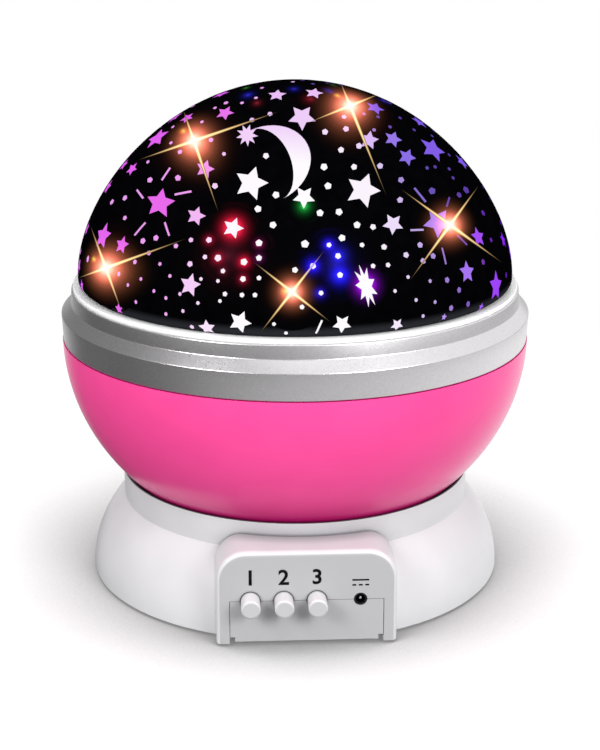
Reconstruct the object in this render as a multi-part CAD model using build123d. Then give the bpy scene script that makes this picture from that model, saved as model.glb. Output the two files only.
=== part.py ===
from build123d import *
import math
import os

# Star night light projector, in millimetres.
# Origin: centre of the base on the surface it stands on. +Z is up and the control panel faces -Y.

# ---- clearances ----
running_gap = 0.05          # radial play of a shaft, spigot or plunger in its bore
thread_gap = 0.02           # radial play of a screw or pressed pin in its hole
seat_gap = 0.3              # round a part that is only located by its neighbour
panel_gap = 0.15            # round the tray tab in the panel
button_gap = 0.2            # round a button cap in its hole
bowl_gap = 0.45             # between the turning bowl and the collar it stands in

# ---- screw recess, as shares of the head's radius ----
cross_reach = 0.55
cross_width = 0.12

# ---- base shell ----
base_radius = 56.0          # foot of the bell
collar_edge = 0.71          # thickness of the collar at its top, round the bowl
base_wall = 2.0
foot_clearance = 0.8        # the rim of the shell stands this high off the surface
bell_level = 1.0            # height at which the bell is widest
shoulder_z = 21.3           # where the bell meets the collar
collar_height = 7.5
deck_drop = 0.1             # from the shoulder down to the deck's underside
deck_thickness = 2.0
hub_wall = 5.0              # round the spigot
hub_drop = 0.3              # the hub reaches this far under the deck
core_width = 3.6            # coring groove under the collar
core_depth = 4.2

# ---- control panel on the base shell ----
panel_half_width = 22.65
panel_proud = 1.0           # the panel stands this far in front of the bell's foot
panel_crown = 4.15          # and this far above the shoulder
panel_corner = 7.5
panel_wall = 1.8
panel_rim = 1.35            # rounding of the panel's front edge
panel_depth = 13.0
panel_room = 6.0            # the panel's inside opens into the bell by this much more
collar_room = 1.0           # solid left in front of the collar
controls_z = 12.4           # height of the buttons and the socket, and the parting line of the tray tab
panel_border = 3.45         # beside the tray tab
tab_notch = 1.2

# ---- tray ----
foot_thickness = 2.0
foot_recess = 0.6
foot_radius = 4.5
foot_inset = 9.0            # from the bell's foot in to the centre of each rubber foot
foot_angles = (68, 112, 232, 308)
plate_thickness = 1.6
plate_gap = 0.4             # between the tray's edge and the shell
tower_height = 5.0
tower_radius = 4.0
tower_inset = 11.4          # and to the centre of each screw tower
tower_angles = (28, 152, 208, 332)
shell_boss_radius = 3.3
base_screw_radius = 1.4
base_screw_head = 2.8
screw_cover = 2.2           # from a base screw's tip to the deck
counterbore_depth = 4.6

# ---- battery bay ----
cell_radius = 5.25
cell_length = 44.5
cell_nub_radius = 1.9
cell_nub_length = 1.0
cell_pitch = 10.9
cell_count = 4
cell_lift = 0.3             # ribs on the door hold the cells this far off it
bay_centre_y = 13.1
spring_room = 4.5           # length of a cell's spring in the bay
bay_side_room = 0.2
bay_wall = 2.0
bay_ceiling = 1.3
bay_head_room = 0.1
door_ledge = 1.0
door_gap = 0.25
lug_half_width = 4.5
lug_length = 8.2
lug_boss_height = 6.0
lug_boss_wall = 2.2
door_screw_radius = 1.3
door_screw_head = 2.2
door_screw_sink = 1.0
door_screw_length = 6.0
contact_thickness = 0.4
contact_half_width = 4.2
contact_height = 8.4
tag_half_width = 1.5
tag_reach = 1.0
spring_radius = 2.6
spring_wire = 0.3
spring_turns = 4
spring_end_gap = 0.1

# ---- switch board and controls ----
board_thickness = 1.4
switch_half_height = 3.6
board_side_gap = 1.65       # between the board and the panel's side walls
board_setback = 7.0         # behind the panel's face
board_depth = 13.0
board_post_radius = 2.2
board_rest_radius = 1.6
board_screw_inset = (2.7, 1.8)     # from the board's side and back edges
board_rest_inset = (1.6, 1.4)      # from the board's side and front edges
small_screw_radius = 0.9
small_screw_head = 1.5
small_head_height = 1.0
board_screw_length = 5.0
button_first_x = -14.1
button_pitch = 8.3
button_radius = 2.4
button_reach = 5.6          # how far a cap stands proud of the panel
button_round = 0.6
button_flange_radius = 3.3
button_flange = 1.0
button_play = 0.2           # between the flange and the wall that it rests behind
button_stem_radius = 1.3
button_travel = 1.5
switch_half_width = 3.0
switch_setback = 2.0        # behind the board's front edge
switch_depth = 7.5
switch_plunger_radius = 1.0
switch_plunger_reach = 2.5
switch_plunger_hold = 2.8
jack_x = 13.4
jack_half_width = 3.5
jack_depth = 15.0
jack_nose_radius = 1.6
jack_nose_gap = 0.1
jack_nose_recess = 0.1
jack_bore_radius = 1.25
jack_bore_depth = 9.0
jack_pin_radius = 0.4
jack_pin_recess = 0.5
chip_x = 7.6
chip_inset = 5.0            # behind the board's front edge
chip_length = 5.0
chip_width = 4.0
chip_height = 1.5

# ---- motor and gears ----
pressure_angle = 25
dedendum_ratio = 1.25       # root depth over module
flank_steps = 4             # spans of each involute flank
tooth_thinning = 0.1        # taken off each tooth at the pitch circle
coarse_module = 0.8
fine_module = 0.5
drive_teeth = 40
small_teeth = 12
wheel_teeth = 30
compound_bearing = 250      # direction of the compound gear from the main axis, degrees
motor_bearing = 205.4       # direction of the motor from the compound gear, degrees
motor_radius = 11.8
motor_edge = 1.0
motor_nose_radius = 3.0
motor_nose_height = 0.7
motor_shaft_radius = 1.0
motor_shaft_hold = 2.4
bracket_thickness = 1.0
bracket_radius = 12.8
bracket_skirt = 3.0
bracket_reach = 16.8
bracket_angles = (200, 330)
bracket_ear_radius = 3.4
bracket_post_radius = 3.0
bracket_screw_length = 6.0
wheel_lift = 0.4            # the compound wheel runs this far above the bracket
wheel_face = 1.2
compound_land = 0.3         # from the compound gear's top to the end of its pin
compound_hub_radius = 2.2
compound_hub_gap = 0.1
gear_pin_radius = 1.0
motor_pinion_face = 1.9
motor_shaft_top = 0.5
drive_face = 2.6
drive_room = 0.4            # between the drive gear and the hub

# ---- turning bowl ----
bowl_radius = 62.4
bowl_rise = 55.7            # vertical half axis of the bowl's oval side
bowl_level_rise = 0.4       # the oval's centre lies this far above the rim
washer_thickness = 0.8
bowl_rim_z = 66.0
bowl_wall = 2.2
rim_step = 0.2              # raised step on the rim that carries the ring and leaves a shadow line
rim_step_inset = 1.0
spigot_radius = 8.0
spigot_step = 0.5           # the lower part of the spigot is this much thinner
spigot_flat_depth = 0.7
spigot_wall = 2.0
clip_land = 0.45            # spigot below the clip
clip_play = 0.15            # between the clip and the drive gear
clip_thickness = 0.7
clip_gap = 0.05
clip_groove_depth = 0.6
clip_reach = 1.2            # the clip stands this far out of the spigot
clip_opening = 70
washer_overhang = 2.0       # past the hub
post_radius = 3.0
post_inset = 5.0            # from the ring's flange edge out to the posts
post_angles = (45, 135, 225, 315)
post_lift = 4.0             # the posts start this far above the bowl's bottom
web_half_thickness = 0.8
web_drop = 4.5              # and their webs end this far under its rim

# ---- trim ring ----
ring_overhang = 0.1         # past the bowl
ring_lower_height = 7.1     # from the bowl's rim to the bevel
ring_bevel_height = 2.8
ring_bevel_inset = 2.55
ring_draft = 0.3            # taper of the upper band
ring_upper_height = 3.5
ring_skirt_gap = 0.6        # between the skirt and the bowl's inside
ring_skirt_wall = 1.4
ring_skirt_depth = 3.0      # below the bowl's rim
ring_edge = 0.35
flange_lift = 4.0           # above the bowl's rim
flange_thickness = 1.5
flange_width = 11.1
ring_rim_wall = 2.55
ledge_thickness = 2.0
groove_depth = 1.4
groove_room = 0.5           # under the bayonet tabs
bayonet_angles = (30, 150, 270)
tab_width = 20
slot_width = 26

# ---- reflector plate ----
reflector_gap = 0.5         # between the plate and the ring
lamp_room = 2.5             # round the LED board
reflector_thickness = 1.5
reflector_screw_radius = 1.3
reflector_screw_head = 2.5
reflector_head_height = 1.5
reflector_screw_length = 11.0

# ---- dome ----
dome_setback = 1.37         # from the lip's edge in to the dome's widest place
dome_rise = 50.6
dome_side_pull = 0.401      # how long the side stays upright, as a share of the rise; a circle has 0.552
dome_top_pull = 0.586       # how far out the top stays flat, as a share of the radius
dome_curl = 2.0
dome_wall = 0.8
dome_lip_gap = 0.4          # between the film's edge and the skirt's inside
lip_setback = 0.35          # from the ring's top edge
lip_thickness = 1.1
collar_skirt_wall = 2.3
bayonet_play = 0.4          # between a bayonet tab and the ledge
bayonet_height = 1.2
gasket_width = 2.0
retainer_wall = 1.0
retainer_height = 1.2
retainer_sleeve_depth = 4.0

# ---- lamp ----
lamp_post_radius = 4.5
lamp_post_bore = 3.0
lamp_flange_radius = 13.5
lamp_flange_height = 1.0
lamp_screw_inset = 1.9      # from the flange's edge
lamp_screw_angles = (10, 130, 190)
lamp_screw_length = 1.1
holder_sleeve = 6.0
holder_sleeve_length = 4.0
holder_radius = 11.0
holder_thickness = 1.8
led_board_radius = 15.0
led_board_lift = 3.0        # above the reflector plate
led_board_thickness = 1.2
led_board_hole = 1.5
led_screw_circle = 8.4
led_screw_angles = (20, 160)
led_screw_length = 2.6
led_radius = 2.5
led_flange_radius = 2.9
led_flange_height = 1.0
led_height = 6.0
led_circle = 7.6
led_names = ("led_red", "led_green", "led_blue")
led_first_angle = 90
warm_led_angle = 270
warm_led_circle = 10.6
resistor_length = 3.2
resistor_width = 1.6
resistor_height = 0.6
resistor_circle = 12.4
resistor_angles = (60, 120, 210, 330)

# ---- leads ----
lead_radius = 0.5
tag_lift = 1.65             # solder tags and leads lie this far above the cells' axis
lead_gap = 0.05
lead_lane = 3.65            # the near battery lead runs this far outside the solder tags
lead_step = 2.4             # between neighbouring leads
lead_turn = 17.0            # the battery leads turn this far behind the board
lead_rise = 1.0
lead_run_in = 5.2           # straight stretch of the near lead over the board
pad_x = 11.4                # pad of the near battery lead
pad_inset = 1.6             # from the board's back edge to the pads
near_bends = (1.6, 8.0, 1.5, 1.0)
far_bends = (3.0, 8.0, 1.5, 1.0)
motor_lead_offset = 3.4
cable_radius = 0.6
cable_bearing = 300         # direction in which the lamp cable leaves the post, degrees
cable_slot_lift = 0.7       # above the battery bay
cable_overhang = 1.5        # past the flange before the cable dips
cable_dip = (9.4, -18.6)
cable_lane_lift = 2.6       # above the switch board
cable_lane_x = 7.6
cable_lane_reach = 3.0      # behind the switch board
cable_pad_x = 7.4
cable_bends = (1.8, 3.0, 3.0, 3.0, 1.2)

# ---- heights and places worked out from the sizes above ----
collar_top_z = shoulder_z + collar_height
deck_bottom_z = shoulder_z - deck_drop
deck_top_z = deck_bottom_z + deck_thickness
hub_bottom_z = deck_bottom_z - hub_drop
core_top_z = deck_bottom_z + core_depth
plate_bottom_z = foot_thickness - foot_recess
plate_top_z = plate_bottom_z + plate_thickness
tower_top_z = plate_top_z + tower_height
base_screw_length = deck_bottom_z - screw_cover - plate_bottom_z - counterbore_depth
cell_z = plate_top_z + cell_lift + cell_radius
lead_z = cell_z + tag_lift
bay_ceiling_z = cell_z + cell_radius + bay_head_room
bay_top_z = bay_ceiling_z + bay_ceiling
bracket_top_z = bay_top_z + bracket_thickness
wheel_z = bracket_top_z + wheel_lift
wheel_top_z = wheel_z + wheel_face
gear_pin_top_z = deck_bottom_z - seat_gap
compound_top_z = gear_pin_top_z - compound_land
drive_top_z = hub_bottom_z - drive_room
drive_bottom_z = drive_top_z - drive_face
clip_z = drive_bottom_z - clip_play - clip_thickness
spigot_bottom_z = clip_z - clip_land
board_top_z = controls_z - switch_half_height
board_bottom_z = board_top_z - board_thickness
panel_top_z = shoulder_z + panel_crown

bowl_bottom_z = deck_top_z + washer_thickness
bowl_level = bowl_rim_z + bowl_level_rise
post_root_z = bowl_bottom_z + post_lift
web_top_z = bowl_rim_z - web_drop
ring_skirt_z = bowl_rim_z - ring_skirt_depth
ring_bevel_z = bowl_rim_z + ring_lower_height
ring_upper_z = ring_bevel_z + ring_bevel_height
ring_top_z = ring_upper_z + ring_upper_height
flange_bottom_z = bowl_rim_z + flange_lift
flange_top_z = flange_bottom_z + flange_thickness
reflector_top_z = flange_top_z + reflector_thickness
collar_skirt_z = ring_top_z - ledge_thickness - bayonet_play - bayonet_height
groove_floor_z = collar_skirt_z - groove_room
gasket_height = collar_skirt_z - seat_gap - reflector_top_z
lip_top_z = ring_top_z + lip_thickness
dome_lip_top_z = lip_top_z + dome_wall
dome_start_z = lip_top_z + dome_curl
led_board_z = reflector_top_z + led_board_lift
led_board_top_z = led_board_z + led_board_thickness
holder_top_z = led_board_z
holder_disc_z = holder_top_z - holder_thickness
cable_slot_z = bay_top_z + cable_slot_lift
cable_lane_z = board_top_z + cable_lane_lift

bowl_at_collar = bowl_radius * math.sqrt(1 - ((bowl_level - collar_top_z) / bowl_rise) ** 2)
collar_radius = bowl_at_collar + bowl_gap + collar_edge
bell_rise = (shoulder_z - bell_level) / math.sqrt(1 - (collar_radius / base_radius) ** 2)
core_outer_radius = collar_radius - base_wall
core_inner_radius = core_outer_radius - core_width
foot_circle = base_radius - foot_inset
tower_circle = base_radius - tower_inset
spigot_lower_radius = spigot_radius - spigot_step
spigot_flat = spigot_lower_radius - spigot_flat_depth
spigot_bore_radius = spigot_radius - spigot_wall
clip_groove_radius = spigot_lower_radius - clip_groove_depth
clip_outer_radius = spigot_radius + clip_reach
hub_radius = spigot_radius + hub_wall
washer_radius = hub_radius + washer_overhang
rim_step_outer = bowl_radius - rim_step_inset
ring_radius = bowl_radius + ring_overhang
ring_upper_radius = ring_radius - ring_bevel_inset
ring_top_radius = ring_upper_radius - ring_draft
ring_skirt_outer = bowl_radius - bowl_wall - ring_skirt_gap
ring_skirt_inner = ring_skirt_outer - ring_skirt_wall
ledge_radius = ring_top_radius - ring_rim_wall
groove_radius = ledge_radius + groove_depth
flange_radius = ledge_radius - flange_width
post_circle = flange_radius + post_inset
reflector_radius = ledge_radius - reflector_gap
reflector_hole = led_board_radius + lamp_room
gasket_outer = reflector_radius
gasket_inner = gasket_outer - gasket_width
collar_skirt_outer = ledge_radius - seat_gap
collar_skirt_inner = collar_skirt_outer - collar_skirt_wall
bayonet_radius = groove_radius - seat_gap
lip_radius = ring_top_radius - lip_setback
dome_radius = lip_radius - dome_setback
dome_lip_radius = collar_skirt_inner + dome_lip_gap
retainer_sleeve = collar_skirt_inner - seat_gap
retainer_inner = retainer_sleeve - retainer_wall
retainer_outer = dome_radius - dome_curl
lamp_screw_circle = lamp_flange_radius - lamp_screw_inset

panel_face_y = -(base_radius + panel_proud)
panel_wall_y = panel_face_y + panel_wall
panel_back_y = panel_face_y + panel_depth
panel_room_y = panel_back_y + panel_room
collar_room_y = -(collar_radius + collar_room)
tab_half_width = panel_half_width - panel_border
board_half_width = panel_half_width - panel_wall - board_side_gap
board_front_y = panel_face_y + board_setback
board_back_y = board_front_y + board_depth
board_screw_x = board_half_width - board_screw_inset[0]
board_screw_y = board_back_y - board_screw_inset[1]
board_rest_x = board_half_width - board_rest_inset[0]
board_rest_y = board_front_y + board_rest_inset[1]
switch_front_y = board_front_y + switch_setback
jack_back_y = panel_face_y + jack_depth
chip_y = board_front_y + chip_inset
pad_y = board_back_y - pad_inset
lead_turn_y = board_back_y + lead_turn
cable_lane_y = board_back_y + cable_lane_reach
button_flange_y = panel_wall_y + button_play
button_stem_y = switch_front_y - switch_plunger_reach
bay_half_length = (cell_length + spring_room) / 2 + contact_thickness
bay_half_depth = cell_count * cell_pitch / 2 + bay_side_room
bay_front_y = bay_centre_y - bay_half_depth
bay_back_y = bay_centre_y + bay_half_depth
coarse_distance = coarse_module * (drive_teeth + small_teeth) / 2
fine_distance = fine_module * (wheel_teeth + small_teeth) / 2

STAND = (Align.CENTER, Align.CENTER, Align.MIN)
CORNER = (Align.MIN, Align.MIN, Align.MIN)


def polar(radius, angle, centre=(0, 0)):
    """Point at a radius and an angle in degrees round a centre."""
    turn = math.radians(angle)
    return centre[0] + radius * math.cos(turn), centre[1] + radius * math.sin(turn)


compound_at = polar(coarse_distance, compound_bearing)
motor_at = polar(fine_distance, motor_bearing, compound_at)


# ---- shapes ----

def turned(*edges):
    """Solid of revolution about Z of a closed outline drawn as (radius, height)."""
    return revolve(Plane.XZ * make_face(Curve() + list(edges)), Axis.Z)


def turned_polygon(*points):
    """Solid of revolution about Z of a polygon of (radius, height) points."""
    return turned(Polyline(*points, close=True))


def sector(inner, outer, z0, z1, middle, width):
    """Part of a ring about Z, width degrees wide about the middle angle."""
    outline = Polyline((inner, z0), (outer, z0), (outer, z1), (inner, z1), close=True)
    piece = revolve(Plane.XZ * make_face(outline), Axis.Z, width)
    return Rot(0, 0, middle - width / 2) * piece


def oval_solid(radius, rise, level, z0, z1):
    """Solid between two heights whose side is an ellipse centred on the axis at a level."""
    start = math.degrees(math.asin((z0 - level) / rise))
    end = math.degrees(math.asin((z1 - level) / rise))
    side = EllipticalCenterArc((0, level), radius, rise, start, arc_size=end - start)
    return turned(side, Polyline(side @ 1, (0, z1), (0, z0), side @ 0))


def round_bar(radius, z0, z1, at=(0, 0)):
    """Upright round bar."""
    return Pos(at[0], at[1], z0) * Cylinder(radius, z1 - z0, align=STAND)


def pipe(outer, inner, z0, z1, at=(0, 0)):
    """Upright round tube."""
    return round_bar(outer, z0, z1, at) - round_bar(inner, z0, z1, at)


def bar_x(radius, x0, x1, y, z):
    """Round bar along X."""
    return Pos(x0, y, z) * Rot(0, 90, 0) * Cylinder(radius, x1 - x0, align=STAND)


def bar_y(radius, y0, y1, x, z):
    """Round bar along Y."""
    return Pos(x, y0, z) * Rot(-90, 0, 0) * Cylinder(radius, y1 - y0, align=STAND)


def block(x0, x1, y0, y1, z0, z1):
    """Box between two corners."""
    return Pos(x0, y0, z0) * Box(x1 - x0, y1 - y0, z1 - z0, align=CORNER)


def group(pieces):
    """Several separate solids kept as one node."""
    return Compound(children=[solid for piece in pieces for solid in piece.solids()])


def screw(at, seat_z, length, shank, head, head_height, up=1):
    """Cross-head screw: its shank runs up or down from the seat and its head lies on the other side."""
    tip_z = seat_z + up * length
    top_z = seat_z - up * head_height
    body = round_bar(shank, min(seat_z, tip_z), max(seat_z, tip_z), at)
    body += round_bar(head, min(seat_z, top_z), max(seat_z, top_z), at)
    slot_half = head * cross_reach
    slot_wide = head * cross_width
    slot_z = top_z + up * head_height / 2
    low, high = min(top_z, slot_z), max(top_z, slot_z)
    for half_x, half_y in ((slot_half, slot_wide), (slot_wide, slot_half)):
        body -= block(at[0] - half_x, at[0] + half_x, at[1] - half_y, at[1] + half_y, low, high)
    return body


def wire(points, radius, radii):
    """Round lead along straight runs joined by tangent arcs; prints its bends and checks its volume."""
    path = FilletPolyline(*points, radius=list(radii))
    lead = sweep(Plane(path @ 0, z_dir=path % 0) * Circle(radius), path=path)
    share = lead.volume / (math.pi * radius ** 2 * path.length)
    print(f"lead r {radius}: length {path.length:.1f}, bends {radii}, volume share {share:.4f}")
    return lead


def gear_outline(teeth, module, phase):
    """Involute gear outline with one tooth centred on the phase angle in degrees."""
    pressure = math.radians(pressure_angle)
    pitch = module * teeth / 2
    base = pitch * math.cos(pressure)
    tip = pitch + module
    root = pitch - dedendum_ratio * module
    start = max(base, root)
    half_at_pitch = (math.pi * module / 2 - tooth_thinning) / (2 * pitch)
    reach = half_at_pitch + math.tan(pressure) - pressure
    flank = []
    for step in range(flank_steps + 1):
        radius = start + (tip - start) * step / flank_steps
        angle = math.acos(base / radius)
        flank.append((radius, reach - math.tan(angle) + angle))
    edges = []
    for tooth in range(teeth):
        middle = math.radians(phase) + 2 * math.pi * tooth / teeth
        following = middle + 2 * math.pi / teeth
        rising = [polar(radius, math.degrees(middle - half)) for radius, half in flank]
        falling = [polar(radius, math.degrees(middle + half)) for radius, half in reversed(flank)]
        next_rise = polar(flank[0][0], math.degrees(following - flank[0][1]))
        root_out = polar(root, math.degrees(middle + flank[0][1]))
        root_in = polar(root, math.degrees(following - flank[0][1]))
        edges += [Spline(*rising), Line(rising[-1], falling[0]), Spline(*falling)]
        if root < start:
            edges += [Polyline(falling[-1], root_out, root_in, next_rise)]
        else:
            edges += [Line(falling[-1], next_rise)]
    return make_face(Curve() + edges)


def gear(teeth, module, phase, z0, z1, at=(0, 0)):
    """Spur gear blank with its teeth, without a bore."""
    return Pos(at[0], at[1], z0) * extrude(gear_outline(teeth, module, phase), z1 - z0)


# ---- base ----

def panel_block(inset, front_y, back_y, bottom_z, top_z):
    """Arch-topped block of the control panel, shrunk all round by an inset."""
    half = panel_half_width - inset
    corner = panel_corner - inset
    plate = Rectangle(2 * half, top_z - bottom_z, align=(Align.CENTER, Align.MIN))
    plate = fillet(plate.vertices().group_by(Axis.Y)[-1], corner)
    return Pos(0, front_y, bottom_z) * Rot(90, 0, 0) * extrude(plate, front_y - back_y)


def button_places():
    """X of each button."""
    return [button_first_x + index * button_pitch for index in range(3)]


def control_holes():
    """Cutters for the buttons and the socket nose, shared by the shell and the tray tab."""
    holes = [
        bar_y(button_radius + button_gap, panel_face_y - 1, panel_wall_y + 1, x, controls_z)
        for x in button_places()
    ]
    nose_hole = jack_nose_radius + jack_nose_gap
    holes.append(bar_y(nose_hole, panel_face_y - 1, panel_wall_y + 1, jack_x, controls_z))
    return holes


def make_base_shell():
    """Bell, collar, dished deck with the bearing hub, control panel and screw bosses."""
    bell = oval_solid(base_radius, bell_rise, bell_level, bell_level, shoulder_z)
    bell += round_bar(base_radius, foot_clearance, bell_level)
    bell += round_bar(collar_radius, shoulder_z, collar_top_z)
    housing = panel_block(0, panel_face_y, panel_back_y, foot_clearance, panel_top_z)
    front_rim = housing.faces().sort_by(Axis.Y)[0].edges().sort_by(Axis.Z)
    housing = fillet(front_rim[1:], panel_rim)
    shell = bell + housing
    inner = oval_solid(
        base_radius - base_wall, bell_rise - base_wall, bell_level, bell_level, deck_bottom_z
    )
    shell -= inner + round_bar(base_radius - base_wall, foot_clearance, bell_level)
    shell -= turned_polygon(
        (core_inner_radius, deck_bottom_z), (core_outer_radius, deck_bottom_z),
        (core_outer_radius, core_top_z),
    )
    bowl_room = oval_solid(
        bowl_radius + bowl_gap, bowl_rise + bowl_gap, bowl_level, deck_top_z, collar_top_z + 1
    )
    shell -= bowl_room
    shell -= panel_block(panel_wall, panel_wall_y, panel_room_y, foot_clearance, deck_bottom_z)
    shell -= panel_block(
        panel_wall, panel_wall_y, collar_room_y, foot_clearance, panel_top_z - panel_wall
    )
    window = tab_half_width + panel_gap
    shell -= block(-window, window, panel_face_y - 1, panel_wall_y + 1, foot_clearance, controls_z)
    shell += round_bar(hub_radius, hub_bottom_z, deck_top_z)
    shell -= round_bar(spigot_radius + running_gap, hub_bottom_z, deck_top_z)
    for angle in tower_angles:
        at = polar(tower_circle, angle)
        shell += round_bar(shell_boss_radius, tower_top_z, deck_bottom_z, at) & inner
        hole_top = plate_bottom_z + counterbore_depth + base_screw_length + thread_gap
        shell -= round_bar(base_screw_radius + thread_gap, tower_top_z, hole_top, at)
    for hole in control_holes():
        shell -= hole
    return shell


def make_base_plate():
    """Tray with the panel tab, battery bay, screw towers, and the posts for the board and the motor."""
    edge = base_radius - base_wall - plate_gap
    tray = round_bar(edge, plate_bottom_z, plate_top_z)
    tray += block(-tab_half_width, tab_half_width, panel_wall_y, board_back_y, plate_bottom_z, plate_top_z)
    tab_top_z = controls_z - button_gap / 2
    tray += block(-tab_half_width, tab_half_width, panel_face_y, panel_wall_y, plate_bottom_z, tab_top_z)
    for side in (-1, 1):
        corner_x = side * tab_half_width
        inner_x = side * (tab_half_width - tab_notch)
        tray -= block(
            min(corner_x, inner_x), max(corner_x, inner_x), panel_face_y, panel_wall_y,
            plate_bottom_z, plate_bottom_z + tab_notch,
        )
    for hole in control_holes():
        tray -= hole
    outer_x = bay_half_length + bay_wall
    tray += block(-outer_x, outer_x, bay_front_y - bay_wall, bay_back_y + bay_wall, plate_top_z, bay_top_z)
    boss_half = lug_half_width + lug_boss_wall
    door_back_y = bay_back_y + door_ledge
    boss_top_z = plate_top_z + lug_boss_height
    tray += block(
        -boss_half, boss_half, bay_back_y + bay_wall, door_back_y + lug_length + lug_boss_wall,
        plate_top_z, boss_top_z,
    ) & round_bar(edge - base_wall, plate_top_z, boss_top_z)
    tray -= block(-bay_half_length, bay_half_length, bay_front_y, bay_back_y, plate_bottom_z, bay_ceiling_z)
    tray -= door_shape(0, plate_bottom_z, plate_top_z)
    tray -= round_bar(door_screw_radius + thread_gap, plate_top_z, boss_top_z, door_screw_at())
    for y in (cell_rows()[0], cell_rows()[-1]):
        tray -= block(
            bay_half_length, outer_x, y - tag_half_width - thread_gap, y + tag_half_width + thread_gap,
            lead_z - contact_thickness / 2 - thread_gap, lead_z + contact_thickness / 2 + thread_gap,
        )
    for angle in tower_angles:
        at = polar(tower_circle, angle)
        tray += round_bar(tower_radius, plate_top_z, tower_top_z, at)
        tray -= round_bar(base_screw_head + seat_gap, plate_bottom_z, plate_bottom_z + counterbore_depth, at)
        tray -= round_bar(base_screw_radius + thread_gap, plate_bottom_z, tower_top_z, at)
    for angle in foot_angles:
        at = polar(foot_circle, angle)
        tray -= round_bar(foot_radius, plate_bottom_z, foot_thickness, at)
    for side in (-1, 1):
        at = (side * board_screw_x, board_screw_y)
        tray += round_bar(board_post_radius, plate_top_z, board_bottom_z, at)
        hole_z = board_top_z - board_screw_length - thread_gap
        tray -= round_bar(small_screw_radius + thread_gap, hole_z, board_bottom_z, at)
        tray += round_bar(board_rest_radius, plate_top_z, board_bottom_z, (side * board_rest_x, board_rest_y))
    for angle in bracket_angles:
        at = polar(bracket_reach, angle, motor_at)
        tray += round_bar(bracket_post_radius, plate_top_z, bay_top_z, at)
        hole_z = bracket_top_z - bracket_screw_length - thread_gap
        tray -= round_bar(small_screw_radius + thread_gap, hole_z, bay_top_z, at)
    for angle in lamp_screw_angles:
        at = polar(lamp_screw_circle, angle)
        tray -= round_bar(small_screw_radius + thread_gap, bay_ceiling_z, bay_top_z, at)
    return tray


def door_shape(gap, z0, z1):
    """Outline of the battery door with its screw lug, smaller than its opening by a gap."""
    half = bay_half_length + door_ledge - gap
    front_y = bay_front_y - door_ledge + gap
    back_y = bay_back_y + door_ledge - gap
    door = block(-half, half, front_y, back_y, z0, z1)
    return door + block(-lug_half_width + gap, lug_half_width - gap, back_y, back_y + lug_length, z0, z1)


def door_screw_at():
    """Centre of the door's screw."""
    return 0, bay_back_y + door_ledge + lug_length / 2


def cell_rows():
    """Y of each cell."""
    first = bay_centre_y - cell_pitch * (cell_count - 1) / 2
    return [first + index * cell_pitch for index in range(cell_count)]


def make_battery_door():
    """Flush door under the cells, with shallow ribs that carry them and a sunk hole for its screw."""
    door = door_shape(door_gap, plate_bottom_z, plate_top_z)
    for side in (-1, 1):
        x = side * bay_half_length / 2
        door += block(
            x - contact_thickness, x + contact_thickness, bay_front_y + door_gap, bay_back_y - door_gap,
            plate_top_z, plate_top_z + cell_lift,
        )
    at = door_screw_at()
    door -= round_bar(door_screw_radius + seat_gap, plate_bottom_z, plate_top_z, at)
    door -= round_bar(door_screw_head + seat_gap, plate_bottom_z, plate_bottom_z + door_screw_sink, at)
    return door


def make_cells():
    """Cells laid side by side, with their raised ends at alternate sides."""
    cells = []
    for index, y in enumerate(cell_rows()):
        side = 1 if index % 2 == 0 else -1
        tip_x = side * (bay_half_length - contact_thickness)
        step_x = tip_x - side * cell_nub_length
        tail_x = tip_x - side * cell_length
        can = bar_x(cell_radius, min(step_x, tail_x), max(step_x, tail_x), y, cell_z)
        can = fillet(can.edges().filter_by(GeomType.CIRCLE), motor_edge / 2)
        cells.append(can + bar_x(cell_nub_radius, min(step_x, tip_x), max(step_x, tip_x), y, cell_z))
    return group(cells)


def make_cell_springs():
    """Coil spring at the flat end of each cell."""
    springs = []
    for index, y in enumerate(cell_rows()):
        side = 1 if index % 2 == 0 else -1
        tail_x = side * (bay_half_length - contact_thickness - cell_length)
        plate_x = -side * (bay_half_length - contact_thickness)
        room = abs(plate_x - tail_x) - 2 * (spring_wire + spring_end_gap)
        coil = Helix(pitch=room / spring_turns, height=room, radius=spring_radius)
        turns = sweep(Plane(coil @ 0, z_dir=coil % 0) * Circle(spring_wire), path=coil)
        start_x = min(plate_x, tail_x) + spring_wire + spring_end_gap
        springs.append(Pos(start_x, y, cell_z) * Rot(0, 90, 0) * turns)
    return group(springs)


def make_cell_contacts():
    """Flat contact plates on the end walls of the bay; the two end ones carry solder tags."""
    rows = cell_rows()
    inner_x = bay_half_length - contact_thickness
    z0 = cell_z - contact_height / 2
    z1 = cell_z + contact_height / 2
    plates = []
    for side, first, last in ((-1, 0, 1), (-1, 2, 3), (1, 1, 2), (1, 0, 0), (1, 3, 3)):
        y0 = rows[first] - contact_half_width
        y1 = rows[last] + contact_half_width
        face_x, back_x = sorted((side * inner_x, side * bay_half_length))
        plate = block(face_x, back_x, y0, y1, z0, z1)
        if first == last:
            y = rows[first]
            plate += block(
                inner_x, bay_half_length + bay_wall + tag_reach, y - tag_half_width, y + tag_half_width,
                lead_z - contact_thickness / 2, lead_z + contact_thickness / 2,
            )
        plates.append(plate)
    return group(plates)


def make_rubber_feet():
    """Round feet pressed into recesses under the tray."""
    feet = []
    for angle in foot_angles:
        foot = round_bar(foot_radius - thread_gap, 0, foot_thickness, polar(foot_circle, angle))
        feet.append(chamfer(foot.edges().group_by(Axis.Z)[0], foot_recess))
    return group(feet)


def make_base_screws():
    """Screws from below that hold the tray to the shell."""
    seat_z = plate_bottom_z + counterbore_depth
    return group([
        screw(polar(tower_circle, angle), seat_z, base_screw_length, base_screw_radius, base_screw_head,
              base_screw_radius)
        for angle in tower_angles
    ])


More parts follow.
